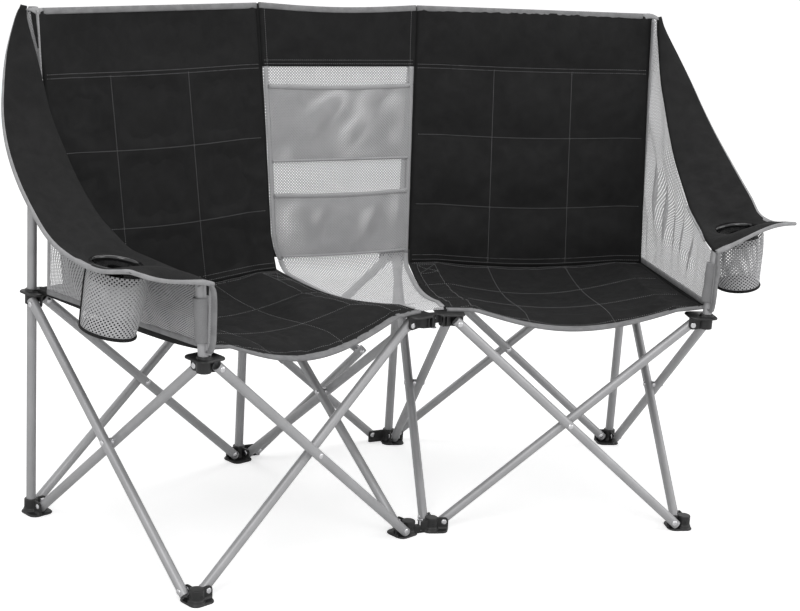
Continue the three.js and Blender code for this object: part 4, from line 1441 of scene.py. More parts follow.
WEB_HALF = 0.8 * MM
POLE_SLEEVE_RADIUS = TUBE_RADIUS + 2.6 * MM
POLE_SLEEVE_DROP = 7 * MM
POLE_SLEEVE_CAP = 6 * MM
POLE_SLEEVE_WAVE = 0.4 * MM
POLE_SLEEVE_WAVES = (9 * MM, 31 * MM)
SLEEVE_LIP = 1.4 * MM
CORNER_START = 0.96  # where the arm's tape takes over from the back's top tape


def back_piece(chair):
    fold = back_fold(chair)
    columns = BACK_COLUMN_SHARES[chair.side]
    creases = [0.0, CREASE_SHARE, 1 - CREASE_SHARE, 1.0]
    across = cells_between(sorted(set(columns) | set(creases)), FINE / SEAT_WIDTH)
    along = cells_between(BACK_ROWS, FINE / (BACK_HEIGHT - SEAT_HEIGHT))
    u, v = np.meshgrid(across, along)
    rear = back_place(chair, u, v)
    front = back_place(chair, u, v, SEAM)
    quilt = np.outer(crown_between(along, BACK_ROWS), crown_between(across, columns))
    band = np.outer(crown_between(along, BACK_ROWS), crown_between(across, creases))
    in_band = (along > BACK_ROWS[-2])[:, None]
    crown = np.sqrt(np.where(in_band, band * 0.4, quilt))
    pinned = on_lines(along, BACK_ROWS)[:, None] | np.where(
        in_band, on_lines(across, creases)[None, :], on_lines(across, columns)[None, :])
    normals = np.broadcast_to(back_normal(chair), front.shape)
    front = puffed(front, normals, crown, pinned, PUFF)
    piece = recalculate(single(f"{chair.side}_back", closed_sheet(front, rear), CLOTH))
    fold.take(piece, "black_fabric", f"{chair.side}_back")
    tree = tree_of(piece)
    rows = []
    foot_line = 0.012
    for share in columns[1:-1]:
        v = np.linspace(foot_line, BACK_ROWS[-2], 60)
        rows.append(back_place(chair, np.full(60, share), v, SEAM))
    for share in BACK_ROWS[1:-2]:
        rows.append(back_place(chair, np.linspace(0.02, 0.98, 60), np.full(60, share), SEAM))
    for share in (foot_line, 0.03, BACK_ROWS[-2] - 0.006, BACK_ROWS[-2] + 0.008):
        rows.append(back_place(chair, np.linspace(0.01, 0.99, 60), np.full(60, share), SEAM))
    stitches = stitch_piece(f"{chair.side}_back_stitches", tree, rows, back_normal(chair))
    fold.take(stitches, "light_mesh")
    count = 80
    edge = back_place(chair, np.linspace(0, CORNER_START, count), np.ones(count), SEAM / 2)
    inward = np.tile(back_place(chair, 0.5, 0.9) - back_place(chair, 0.5, 1.0), (count, 1))
    normals = np.tile(back_normal(chair), (count, 1))
    tape = binding(f"{chair.side}_back_top_binding", edge, inward, normals, *TOP_TAPE)
    fold.take(tape, "light_mesh")


def pole_sleeves(chair):
    """A cloth sleeve over the top of each pole, sewn to the back's edge."""
    for word, corner, share in (("inner", "rear_inner", 0.0), ("outer", "rear_outer", 1.0)):
        axis = chair.corner(corner)
        radius = POLE_SLEEVE_RADIUS
        low = BACK_HEIGHT - SLEEVE_LENGTH
        top = BACK_HEIGHT - POLE_SLEEVE_DROP
        profile = [(radius - SLEEVE_LIP, low + RIM), (radius - RIM, low), (radius, low)]
        for height in np.linspace(low, top - POLE_SLEEVE_CAP, 20)[1:]:
            short, long = (math.sin(height / pitch) for pitch in POLE_SLEEVE_WAVES)
            profile.append((radius + POLE_SLEEVE_WAVE * short * long, height))
        profile += [(radius - 2 * RIM, top - 2 * RIM), (radius - POLE_SLEEVE_CAP, top), (0, top)]
        sleeve = round_piece(profile, raised(axis, 0), UP, 32)
        piece = single(f"{chair.side}_{word}_pole_sleeve", sleeve, CLOTH)
        count = 12
        heights = np.linspace(low, top, count)
        foot = float(back_foot(share))
        v = (heights - foot) / (BACK_HEIGHT - foot)
        across = np.full(count, SEAT_INSET + share * SEAT_WIDTH)
        near = chair.at(across, SPACING - back_offset(v) - SEAM / 2, heights)
        far = np.array([raised(axis, height) for height in heights])
        grid = np.stack([mix(far, near, s) for s in np.linspace(0, 1, 6)], axis=1)
        normal = grid_normals(grid, chair.out)
        sides = closed_sheet(grid + normal * WEB_HALF, grid - normal * WEB_HALF)
        web = recalculate(single(f"{chair.side}_{word}_sleeve_web", sides, CLOTH))
        for made in (piece, web):
            dress(made, f"{chair.side}_rear_{word}_foot", "black_fabric")


for chair in chairs:
    back_piece(chair)
    pole_sleeves(chair)


# Arms and cup holders

# The arm's two long edges, from the top of the back to the front: along the side of the chair from
# the rear pole, out from it of the arm's width, and of the rise from the arm post to the back's top.
ARM_SEAM_SHARES = (
    (0.01, 0.1, 0.998), (0.017, 0.106, 0.932), (0.072, 0.106, 0.792), (0.12, 0.113, 0.666),
    (0.179, 0.138, 0.539), (0.258, 0.144, 0.413), (0.35, 0.156, 0.286), (0.478, 0.169, 0.159),
    (0.571, 0.156, 0.096), (0.66, 0.156, 0.051), (0.762, 0.11, 0.032), (0.864, 0.05, 0.013),
    (0.98, 0, 0), (1.04, 0, 0))
ARM_FREE_SHARES = (
    (-0.004, 0.15, 1.002), (-0.006, 0.225, 0.932), (0.035, 0.413, 0.792), (0.089, 0.563, 0.666),
    (0.148, 0.688, 0.539), (0.231, 0.794, 0.413), (0.346, 0.881, 0.286), (0.485, 0.944, 0.159),
    (0.575, 0.975, 0.096), (0.66, 0.988, 0.078), (0.762, 1, 0.074), (0.864, 1.019, 0.071),
    (0.951, 1.031, 0.094), (1.016, 1, 0.122))
# How much higher each arm's free edge hangs at each of those places.
ARM_LIFTS = {
    "left": np.array([0, 0, 0, 0, 0, 0, 0, 2, 4, -1, -6, -4, -5, -7]) * MM,
    "right": np.array([0, 0, 0, 0, 2, 6, 13, 22, 23, 8, 6, 14, 14, 10]) * MM,
}
ARM_ROWS = len(ARM_SEAM_SHARES) - 1
ARM_POST_SHARE = 12 / ARM_ROWS  # place of the arm post along the two edges
ARM_CROWN_SHARE = 11 / ARM_ROWS  # where the arm rest starts to bulge
CUP_SHARES = (0.52, 10 / ARM_ROWS)  # cup centre across the arm and along its edges
CUP_DIPS = {"left": 6 * MM, "right": 13 * MM}  # cloth pulled down by the cup holder
CUP_DIP_SHARE = 0.1
FRONT_BULGES = {"left": -9 * MM, "right": 12 * MM}  # front edge above a straight line
CORNER_SHARES = (0.1, 0.035)  # how far the front corner is rounded, across and along
PIPING_SHARES = {"left": 0.89, "right": 0.58}  # round the pouch from its outer side
ARM_STEPS = 200
ARM_COLUMNS = 33
POUCH_SIDES = 96
SEAM_CORD = 2.4 * MM
CUP_RIM = 4 * MM
CUP_FADE = 26 * MM
RING_DEPTH = 24 * MM
POUCH_BULGE = 2.2 * MM
POUCH_RIPPLE = 1.2 * MM
POUCH_AHEAD = 8 * MM  # the pouch's mouth reaches further in front of the cup hole
POUCH_DROP = 1.3 * MM
POUCH_CORD = 3 * MM
POUCH_PIPING = 2.8 * MM
BASE_HALF = 0.8 * MM
BASE_DIPS = (1.4 * MM, 0.4 * MM)


def outer_place(chair, along, out, height):
    """A place by the outer side of the chair: along from the rear pole, and out from the side."""
    return chair.at(SPACING + np.asarray(out, float), SPACING - np.asarray(along, float), height)


def arm_edge(rows, lifts=None):
    """A long edge of the arm as close points of (along, out, height)."""
    points = np.array(rows) * (SPACING, ARM_WIDTH, BACK_HEIGHT - ARM_HEIGHT) + (0, 0, ARM_HEIGHT)
    if lifts is not None:
        points[:, 2] += lifts
    return spline(points, ARM_ROWS * ARM_STEPS + 1)


ARM_SEAM = arm_edge(ARM_SEAM_SHARES)
ARM_FREES = {side: arm_edge(ARM_FREE_SHARES, lifts) for side, lifts in ARM_LIFTS.items()}


def on_edge(edge, share):
    places = np.linspace(0, 1, len(edge))
    share = np.clip(share, 0, 1)
    return np.stack([np.interp(share, places, edge[:, axis]) for axis in range(3)], axis=-1)


def arm_place(chair, u, v, above=0.0):
    """The middle of the arm's cloth at the shares u, from seam to free edge, and v, to the front."""
    u, v = np.broadcast_arrays(np.asarray(u, float), np.asarray(v, float))
    over_u, over_v = CORNER_SHARES
    a = np.clip((u - 1 + over_u) / over_u, 0, 1)
    b = np.clip((v - 1 + over_v) / over_v, 0, 1)
    u = np.where((a > 0) & (b > 0), 1 - over_u + over_u * a * np.sqrt(1 - b * b / 2), u)
    v = np.where((a > 0) & (b > 0), 1 - over_v + over_v * b * np.sqrt(1 - a * a / 2), v)
    place = mix(on_edge(ARM_SEAM, v), on_edge(ARM_FREES[chair.side], v), u[..., None])
    forward = np.clip((v - ARM_CROWN_SHARE) / (1 - ARM_CROWN_SHARE), 0, 1)
    over = np.sin(np.clip(u, 0, 1) * math.pi)
    crown = ARM_CROWN * np.sin(forward * math.pi) * over
    crown = crown + FRONT_BULGES[chair.side] * forward ** 2 * np.sin(np.clip(u, 0, 1) ** 1.5 * math.pi)
    crown = crown - CUP_DIPS[chair.side] * over * np.exp(-((v - CUP_SHARES[1]) / CUP_DIP_SHARE) ** 2)
    return outer_place(chair, place[..., 0], place[..., 1], place[..., 2] + crown + above)


def arm_fold(chair):
    """The arm and what hangs on it go with the front outer hub, with an axis along its slope from the
    back down to its post.
    """
    axis = unit(0.79 * -chair.back * 0.495 - UP * 0.38)
    anchor = chair.at(SPACING, 0, ARM_HEIGHT)
    return Fold(f"{chair.side}_front_outer_hub", axis, anchor, 0.33)


def cup_place(chair):
    """The centre of the cup hole in the arm's cloth, and the direction square to the cloth."""
    u, v = CUP_SHARES
    step = 0.01
    middle = arm_place(chair, u, v)
    up = unit(np.cross(arm_place(chair, u + step, v) - middle, arm_place(chair, u, v + step) - middle))
    return middle, up * np.sign(up[2])


def arm_grid(chair, above):
    """Rows down the seam, columns from the seam to the free edge."""
    u, v = np.meshgrid(np.linspace(0, 1, ARM_COLUMNS), np.linspace(0, 1, ARM_STEPS))
    grid = arm_place(chair, u, v)
    normals = grid_normals(grid, UP)
    return grid + normals * above, normals


def from_cup(chair, grid):
    """Vectors from the cup's axis, square to it, and how far the points lie along it."""
    middle, up = cup_place(chair)
    away = grid - middle
    rise = np.sum(away * up, axis=-1, keepdims=True)
    return away - rise * up, middle + rise * up


def hole_cells(chair, *grids):
    """Which cells lie outside the cup hole, with the points next to the hole moved onto its edge."""
    distance = np.linalg.norm(from_cup(chair, grids[0])[0], axis=-1)
    inside = distance < CUP_HOLE
    whole = inside[:-1, :-1] & inside[1:, :-1] & inside[:-1, 1:] & inside[1:, 1:]
    used = np.zeros(inside.shape, bool)
    for rows in (slice(0, -1), slice(1, None)):
        for columns in (slice(0, -1), slice(1, None)):
            used[rows, columns] |= ~whole
    edge = inside & used
    for grid in grids:
        away, axis = from_cup(chair, grid)
        reach = np.maximum(np.linalg.norm(away, axis=-1, keepdims=True), 1e-6)
        grid[...] = np.where(edge[..., None], axis + away * CUP_HOLE / reach, grid)
    return ~whole


def arm_piece(chair):
    fold = arm_fold(chair)
    top, normals = arm_grid(chair, ARM_THICKNESS / 2)
    low, _ = arm_grid(chair, -ARM_THICKNESS / 2)
    rows = np.sin(np.linspace(0, 1, ARM_STEPS) * math.pi)
    columns = np.sin(np.linspace(0, 1, ARM_COLUMNS) * math.pi)
    crown = np.sqrt(np.outer(np.clip(rows * 3, 0, 1), columns))
    away = np.linalg.norm(from_cup(chair, top)[0], axis=-1)
    crown = crown * smooth_share((away - CUP_HOLE - CUP_RIM) / CUP_FADE)
    top = top + normals * (crown * ARM_PUFF)[..., None]
    kept = hole_cells(chair, top, low)
    piece = recalculate(single(f"{chair.side}_arm", closed_sheet(top, low, kept), CLOTH))
    fold.take(piece, "black_fabric", f"{chair.side}_arm")
    return fold


def arm_rim(chair):
    """The arm's free edge and its front edge as one path, with the vectors into the cloth."""
    u = np.concatenate([np.ones(240), np.linspace(1, 0, 90)[1:]])
    v = np.concatenate([np.linspace(0.02, 1, 240), np.ones(89)])
    into_u, into_v = CORNER_SHARES
    edge = arm_place(chair, u, v)
    inner = arm_place(chair, np.minimum(u, 1 - into_u), np.minimum(v, 1 - into_v))
    inward = unit(inner - edge)
    along = tangents(edge)
    normals = unit(np.cross(inward, along))
    flip = np.sum(normals * (UP + chair.back * -0.3), axis=1, keepdims=True) < 0
    normals = np.where(flip, -normals, normals)
    shares = np.array([CORNER_START, 1.0])
    corner = back_place(chair, shares, np.ones(2), SEAM / 2)
    count = 24
    begin = spline(np.vstack([corner, edge[:1]]), count)[:-1]
    turn = np.linspace(0, 1, count)[:-1, None]
    edge = np.vstack([begin, edge])
    inward = np.vstack([mix(-UP, inward[0], turn), inward])
    normals = np.vstack([mix(back_normal(chair), normals[0], turn), normals])
    return edge, inward, normals


def arm_bindings(chair, fold):
    """Grey tape round the free edge and the front edge, and a narrow hem under the seam."""
    edge, inward, normals = arm_rim(chair)
    tape = binding(f"{chair.side}_arm_binding", edge, inward, normals, *ARM_TAPE, PALE_TAPE)
    fold.take(tape, "light_mesh")
    v = np.linspace(0.6, 0.84, 120)
    seam = arm_place(chair, np.zeros(120), v, -ARM_THICKNESS * 0.62)
    across = arm_place(chair, np.full(120, 0.1), v) - arm_place(chair, np.zeros(120), v)
    path = seam - unit(across) * TAPE_PROUD
    cord = cord_piece(f"{chair.side}_arm_seam", piping(path, SEAM_CORD, UP, 8), SEAM_TAPE)
    fold.take(cord, "light_mesh")


def cup_ring(chair, fold):
    """A glossy rim in the arm with a short collar inside it."""
    middle, up = cup_place(chair)
    bore = CUP_HOLE - 2.4 * MM
    flange = CUP_HOLE + 5 * MM
    base = ARM_THICKNESS / 2 + 0.8 * MM
    profile = [(bore, -RING_DEPTH), (bore + 1.6 * MM, -RING_DEPTH), (bore + 2 * MM, base),
               (flange, base - 1 * MM), (flange + 0.8 * MM, base + 0.4 * MM), (flange, base + 1.8 * MM),
               (CUP_HOLE + 2 * MM, base + 3 * MM), (CUP_HOLE - 0.5 * MM, base + 2.6 * MM),
               (bore + 0.6 * MM, base + 0.8 * MM), (bore, base - 2 * MM)]
    ring = round_piece(profile, middle, up, 64, closed=True)
    piece = recalculate(single(f"{chair.side}_cup_ring", ring, GLOSS))
    fold.take(piece, "glossy_trim", f"{chair.side}_cup_ring")


def cup_pouch(chair, fold):
    """A net pouch from its round rim to an oval foot, with piping at its rear and round its foot."""
    middle, up = cup_place(chair)
    forward = -chair.back
    rim = middle - up * (ARM_THICKNESS / 2 + POUCH_DROP)
    angles = np.linspace(0, 2 * math.pi, POUCH_SIDES + 1)
    angle, drop = np.meshgrid(angles, np.linspace(0, 1, 40))
    ripple = POUCH_RIPPLE * np.sin(angle * 5 + drop * 3)
    bulge = (POUCH_BULGE + ripple) * np.sin(drop * math.pi)
    out = (mix(CUP_POUCH, CUP_FOOT_ACROSS, drop) + bulge) * np.cos(angle)
    along = (mix(CUP_POUCH + POUCH_AHEAD, CUP_FOOT_ALONG, drop) + bulge) * np.sin(angle)
    along = along + POUCH_AHEAD * (1 - drop)
    slope_out = -float(np.dot(up, chair.out)) / up[2]
    slope_along = -float(np.dot(up, forward)) / up[2]
    level = slope_out * out + slope_along * along
    grid = (rim + (out + CUP_SPLAY * drop)[..., None] * chair.out + along[..., None] * forward
            + (level - drop * CUP_DEPTH)[..., None] * UP)[::-1]
    net = single(f"{chair.side}_cup_pouch", (grid, grid_faces(*grid.shape[:2])), POUCH_NET)
    weave_places(net, grid_places(grid))
    fold.take(net, "light_mesh", f"{chair.side}_cup_pouch")
    ring = grid[0][:-1]
    centre_point = ring.mean(axis=0)
    low_dip, high_dip = BASE_DIPS
    points = np.vstack([ring - UP * BASE_HALF, ring + UP * BASE_HALF, centre_point - UP * low_dip,
                        centre_point + UP * high_dip])
    count = len(ring)
    faces = []
    for number in range(count):
        following = (number + 1) % count
        faces.append([number, following, 2 * count])
        faces.append([count + following, count + number, 2 * count + 1])
        faces.append([number, count + number, count + following, following])
    piece = recalculate(single(f"{chair.side}_cup_pouch_base", (points, faces), BACKING))
    fold.take(piece, "black_fabric")
    column = int(round(PIPING_SHARES[chair.side] * POUCH_SIDES))
    cords = (("rim", piping(ring, POUCH_CORD, UP, closed=True)),
             ("piping", piping(grid[:, column], POUCH_PIPING, chair.out)))
    for word, cord in cords:
        fold.take(cord_piece(f"{chair.side}_cup_pouch_{word}", cord, STRAP), "black_fabric")
    declare_sheet(grid)


# Side meshes

STRIP_HALF = 0.7 * MM
STRIP_DROP = 1 * MM
STRIP_LAP = 2 * MM
MESH_GAP = 0.6 * MM
MESH_POST_GAP = 3 * MM
MESH_OUT = 1 * MM
REAR_HEM_THICKNESS = 3 * MM
FOOT_TAPE = (11 * MM, 4.4 * MM)  # width and thickness
HEM_WIDTHS = {"left": 8 * MM, "right": 19 * MM}
RIPPLES = {"left": 2 * MM, "right": 3.5 * MM}
RIPPLE_SEEDS = {"left": 7, "right": 11}
MESH_FOOT = COLLAR_TOP + 1.1 * MM
MESH_LIFT = 12 * MM
MESH_HEEL_SHARE = 0.42
MESH_ROWS = 170
MESH_COLUMNS = 44
MESH_REAR_TOP = 11 * MM
MESH_REAR_FOOT = 54 * MM
POST_SLEEVE_LOW = COLLAR_TOP + 24 * MM
FLAP_REACH = 30 * MM
FLAP_LEAN = 8 * MM


def mesh_edges(count):
    """The net's edge under the arm's seam, and its edge down the back and along the seat."""
    v = np.linspace(0.02, ARM_POST_SHARE, count)
    upper = on_edge(ARM_SEAM, v)
    slope = tangents(upper)
    under = np.stack([slope[:, 2], 0 * v, -slope[:, 0]], axis=1)
    upper = upper + under * (ARM_THICKNESS / 2 + MESH_GAP)
    share = np.linspace(0, 1, count)
    top = upper[0, 2]
    heel = MESH_HEEL_SHARE
    front = SPACING - TUBE_RADIUS - MESH_POST_GAP
    forward = np.clip((share - heel) / (1 - heel), 0, 1)
    height = np.where(share < heel, mix(top, MESH_FOOT, np.clip(share / heel, 0, 1)),
                      mix(MESH_FOOT, MESH_FOOT + MESH_LIFT, forward))
    rear = mix(MESH_REAR_TOP, MESH_REAR_FOOT, np.clip((top - height) / (top - ARM_HEIGHT), 0, 1))
    along = np.where(share < heel, rear, mix(MESH_REAR_FOOT, front, forward))
    lower = np.stack([along, np.full(count, MESH_OUT), height], axis=1)
    upper[:, 0] = np.minimum(upper[:, 0], front)
    return upper, lower


def rippled_net(chair, upper, lower):
    """The net between its two edges, with soft ripples that fade out towards them."""
    share = np.linspace(0, 1, len(upper))
    across = np.linspace(0, 1, MESH_COLUMNS)
    flat = lower[:, None] + (upper - lower)[:, None] * across[None, :, None]
    generator = np.random.default_rng(RIPPLE_SEEDS[chair.side])
    ripple = np.zeros(flat.shape[:2])
    for _ in range(4):
        length = generator.uniform(0.05, 0.11)
        phase = generator.uniform(0, 2 * math.pi)
        slant = generator.uniform(-0.5, 0.5)
        way = flat[..., 0] + slant * (flat[..., 2] - ARM_HEIGHT)
        ripple += np.sin(way * 2 * math.pi / length + phase)
    ends = np.sin(np.clip(share, 0.02, 0.98) * math.pi)[:, None] ** 0.5
    envelope = np.sin(across * math.pi)[None, :] * ends
    out = flat[..., 1] + ripple * envelope * RIPPLES[chair.side]
    return outer_place(chair, flat[..., 0], out, flat[..., 2])


def side_mesh(chair, fold):
    """Net between the arm's seam, the back's outer edge, the seat's side and the arm post."""
    upper, lower = mesh_edges(MESH_ROWS)
    grid = rippled_net(chair, upper, lower)
    net = single(f"{chair.side}_side_mesh", (grid, grid_faces(*grid.shape[:2])), NET)
    weave_places(net, grid_places(grid))
    fold.take(net, "light_mesh", f"{chair.side}_side_mesh")
    declare_sheet(grid)
    side_mesh_trim(chair, fold, grid[:, 0], lower[:, 0])


def side_mesh_trim(chair, fold, low, along):
    """The hem beside the back, the tape along the net's foot and the cloth from there to the seat."""
    count = len(low)
    corner = int(MESH_HEEL_SHARE * count)
    normal = np.tile(chair.out, (count, 1))
    tape = binding(f"{chair.side}_side_mesh_rear_hem", low[:corner], np.tile(-chair.back, (corner, 1)),
                   normal[:corner], HEM_WIDTHS[chair.side], REAR_HEM_THICKNESS, HEM)
    fold.take(tape, "light_mesh")
    rest = count - corner
    tape = binding(f"{chair.side}_side_mesh_foot_binding", low[corner:], np.tile(UP, (rest, 1)),
                   normal[corner:], *FOOT_TAPE)
    fold.take(tape, "light_mesh")
    v = 1 - (SPACING - along[corner:] - SEAT_INSET) / SEAT_WIDTH
    foot = seat_place(chair, np.ones(rest), v, -STRIP_DROP)
    head = low[corner:] + UP * STRIP_LAP
    strip = np.stack([mix(foot, head, share) for share in (0.0, 0.5, 1.0)], axis=1)
    sides = closed_sheet(strip + chair.out * STRIP_HALF, strip - chair.out * STRIP_HALF)
    piece = recalculate(single(f"{chair.side}_side_mesh_foot_strip", sides, CLOTH))
    fold.take(piece, "black_fabric")


SLEEVE_OUTSIDE = TUBE_RADIUS + 5 * MM
POST_SLEEVE_DROP = 26 * MM
POST_SLEEVE_WAVE = 0.8 * MM
POST_SLEEVE_WAVES = (7 * MM, 23 * MM)
FLAP_HALF = 1 * MM
FLAP_FOOT = COLLAR_TOP + 6 * MM
FLAP_NARROW = 10 * MM
FLAP_GAP = 1.5 * MM
FLAP_BOW = 1.5 * MM
FLAP_OUT = 2 * MM
FLAP_TAPE = (12 * MM, 6 * MM)  # width and thickness


def post_sleeve(chair):
    """A cloth sleeve round the arm post."""
    top = ARM_HEIGHT - POST_SLEEVE_DROP
    radius = SLEEVE_OUTSIDE
    inside = TUBE_RADIUS + MESH_GAP
    length = top - POST_SLEEVE_LOW
    profile = [(inside, RIM), (radius - RIM, 0)]
    for height in np.linspace(0, length, 24):
        short, long = (math.sin(height / pitch) for pitch in POST_SLEEVE_WAVES)
        profile.append((radius + POST_SLEEVE_WAVE * short * long, height))
    profile += [(radius - RIM, length + RIM / 2), (inside, length - 2 * RIM)]
    base = post_place(chair, POST_SLEEVE_LOW)
    tube = round_piece(profile, base, post_place(chair, top) - base, 32)
    sleeve = single(f"{chair.side}_post_sleeve", tube, SLEEVE)
    dress(sleeve, f"{chair.side}_front_outer_hub", "light_mesh")


def post_flap(chair):
    """The flap of cloth in front of the arm post, with two seams and a bound edge."""
    body = f"{chair.side}_front_outer_hub"
    rows, columns = 40, 10
    heights = np.linspace(ARM_HEIGHT - ARM_THICKNESS / 2, FLAP_FOOT, rows)
    share = np.linspace(0, 1, rows)
    narrow = FLAP_NARROW * smooth_share((share - 0.78) / 0.22)
    reach = FLAP_REACH - FLAP_LEAN * np.exp(-share * 9) - narrow
    steps = np.linspace(0, 1, columns)
    start = TUBE_RADIUS + FLAP_GAP
    along = SPACING + start + (reach - start)[:, None] * steps[None, :]
    out = FLAP_BOW * np.sin(steps * math.pi)[None, :] * np.ones((rows, 1)) + FLAP_OUT
    grid = outer_place(chair, along, out, np.broadcast_to(heights[:, None], along.shape))
    normal = chair.out
    sides = closed_sheet(grid + normal * FLAP_HALF, grid - normal * FLAP_HALF)
    flap = recalculate(single(f"{chair.side}_post_flap", sides, HEM))
    places = grid_places(grid)
    weave_places(flap, np.vstack([places, places]))
    dress(flap, body, "light_mesh")
    tree = tree_of(flap)
    rows_of_thread = [grid[3:-6, column] + normal * FLAP_HALF for column in (4, 6)]
    stitches = stitch_piece(f"{chair.side}_post_flap_stitches", tree, rows_of_thread, normal)
    dress(stitches, body, "light_mesh")
    end = seat_place(chair, np.array([1.0, 0.97]), np.array([1.0, 1.0]), SEAM)
    begin = arm_place(chair, np.array([0.16, 0.05]), np.array([1.0, 1.0]))
    path = spline(np.vstack([begin, grid[2::6, -1], end[:1]]), 90)
    inward = np.tile(chair.back, (90, 1))
    inward[:14] = mix(chair.back, -UP, np.linspace(1, 0, 14)[:, None] * 0.5)
    normals = np.tile(normal, (90, 1))
    tape = binding(f"{chair.side}_post_flap_binding", path, inward, normals, *FLAP_TAPE)
    dress(tape, body, "light_mesh")


for chair in chairs:
    fold = arm_piece(chair)
    arm_bindings(chair, fold)
    cup_ring(chair, fold)
    cup_pouch(chair, fold)
    side_mesh(chair, fold)
    post_sleeve(chair)
    post_flap(chair)


# Middle panel and pockets

BAND_FRONT = 2.2 * MM  # cloth in front of the panel's own surface
BAND_REAR = 1.2 * MM
JOINT_HALF = 0.6 * MM
BAND_DROP = 7 * MM  # sag of the band's top edge
BAND_TAPE = (12 * MM, 6 * MM)  # width and thickness of a tape or hem
POCKET_HEM = (9 * MM, 1.2 * MM)
POCKET_SEAM = (5 * MM, 1 * MM)
SIDE_HEM = (10 * MM, 1.4 * MM)
HEM_RISE = 1 * MM
SIDE_HEM_RISE = 1.6 * MM
POCKET_SLACK = 5 * MM
UPPER_WRINKLE = 1.2 * MM
WEDGE_WRINKLE = 1.5 * MM
MIDDLE_ABOVE = 2 * MM
MIDDLE_GAP_SIDE = 1.1 * MM
MIDDLE_TOP = 13 * MM
MIDDLE_BEND = 26 * MM
MIDDLE_TIP = 12 * MM
MIDDLE_SAG = 14 * MM
MIDDLE_SEAT_SHARES = (0.45, 0.6, 0.75, 0.86, 0.93)
MIDDLE_BACK_SHARE = 0.52
MIDDLE_FRONT_SHARE = 0.93
UPPER_POCKET_SHARES = (0.172, 0.338)
LOWER_POCKET_SHARES = (0.407, 0.545)
POCKET_MARGIN_SHARE = 0.03
POCKET_LIFT = 3 * MM
PATH_STEP = 3 * MM
PANEL_FINE = 5 * MM


def middle_path():
    """The panel's edge beside a back and a seat, as (distance in front of the rear pole, height)."""
    foot = float(back_foot(0))

    def seat_edge(share):
        return float(seat_underside(0.0, share)) + SEAM / 2

    bend_along = BACK_LEAN + MIDDLE_BEND
    bend_share = MIDDLE_BEND / (BACK_HEIGHT - foot)
    start = np.array([MIDDLE_TOP, BACK_HEIGHT, 0.0])
    bend = np.array([float(back_offset(bend_share)) + SEAM / 2, foot + MIDDLE_BEND, 0.0])
    corner = np.array([BACK_LEAN, foot, 0.0])
    seat = np.array([bend_along, seat_edge(bend_along / SPACING), 0.0])
    t = np.linspace(0, 1, 30)[:, None]
    curve = (1 - t) ** 2 * bend + 2 * t * (1 - t) * corner + t ** 2 * seat
    rest = [seat] + [np.array([share * SPACING, seat_edge(share), 0.0]) for share in MIDDLE_SEAT_SHARES]
    rest.append(np.array([SPACING - MIDDLE_TIP, HUB_PLATE_TOP + MIDDLE_ABOVE, 0.0]))
    tail = spline(rest, 120)
    return resample(np.vstack([np.linspace(start, bend, 60), curve[1:], tail[1:]]), PATH_STEP)[:, :2]


MIDDLE_PATH = middle_path()


BEND_SHARE = 0.1  # of the back's height, where the panel leaves the back


def middle_place(u, v):
    """A place on the middle panel at the shares u, from left to right, and v, from top to front."""
    u, v = np.broadcast_arrays(np.asarray(u, float), np.asarray(v, float))
    number = np.clip(v, 0, 1) * (len(MIDDLE_PATH) - 1)
    places = np.arange(len(MIDDLE_PATH))
    along = np.interp(number, places, MIDDLE_PATH[:, 0])
    height = np.interp(number, places, MIDDLE_PATH[:, 1])
    up_back = (height - float(back_foot(0))) / (BACK_HEIGHT - float(back_foot(0)))
    waists = [back_waist(chair, up_back) * smooth_share(up_back / BEND_SHARE) for chair in chairs]
    left, right = (chair.at(-MIDDLE_GAP_SIDE, SPACING - along, height) + chair.out * waist[..., None]
                   for chair, waist in zip(chairs, waists))
    point = left + (right - left) * u[..., None]
    on_seat = np.clip((v - MIDDLE_BACK_SHARE) / (MIDDLE_FRONT_SHARE - MIDDLE_BACK_SHARE), 0, 1)
    point[..., 2] -= MIDDLE_SAG * 4 * u * (1 - u) * np.sin(on_seat * math.pi)
    return point


def share_at_height(height):
    return float(np.argmin(np.abs(MIDDLE_PATH[:, 1] - height))) / (len(MIDDLE_PATH) - 1)


BAND_FOOT = share_at_height(mix(BACK_HEIGHT, float(back_foot(0)), BAND_SHARE))
MIDDLE_SPLIT = 0.553
FRONT = np.array([0.0, -1.0, 0.0])


def back_part_fold():
    axis = chairs[0].corner("rear_inner")
    return Fold("left_rear_inner_foot", np.array([1.0, 0.0, 0.0]), axis, 0.33)


def wedge_fold():
    return Fold("front_inner_hubs", np.array([0.0, 1.0, 0.0]), hinge_axis(), 0.22)


def panel_part(low, high, lift=0.0, margin=0.0):
    """A part of the panel as a grid of points, and its normals."""
    v = even(low, high, PANEL_FINE / (len(MIDDLE_PATH) * PATH_STEP))
    u = np.linspace(margin, 1 - margin, 48)
    uu, vv = np.meshgrid(u, v)
    grid = middle_place(uu, vv)
    normals = grid_normals(grid, FRONT + UP)
    grid = grid + normals * lift
    return grid, normals


def build_net(name, grid, material, fold, *nodes, slot="light_mesh"):
    piece = single(name, (grid, grid_faces(*grid.shape[:2])), material)
    weave_places(piece, grid_places(grid))
    fold.take(piece, slot, *nodes)
    return piece


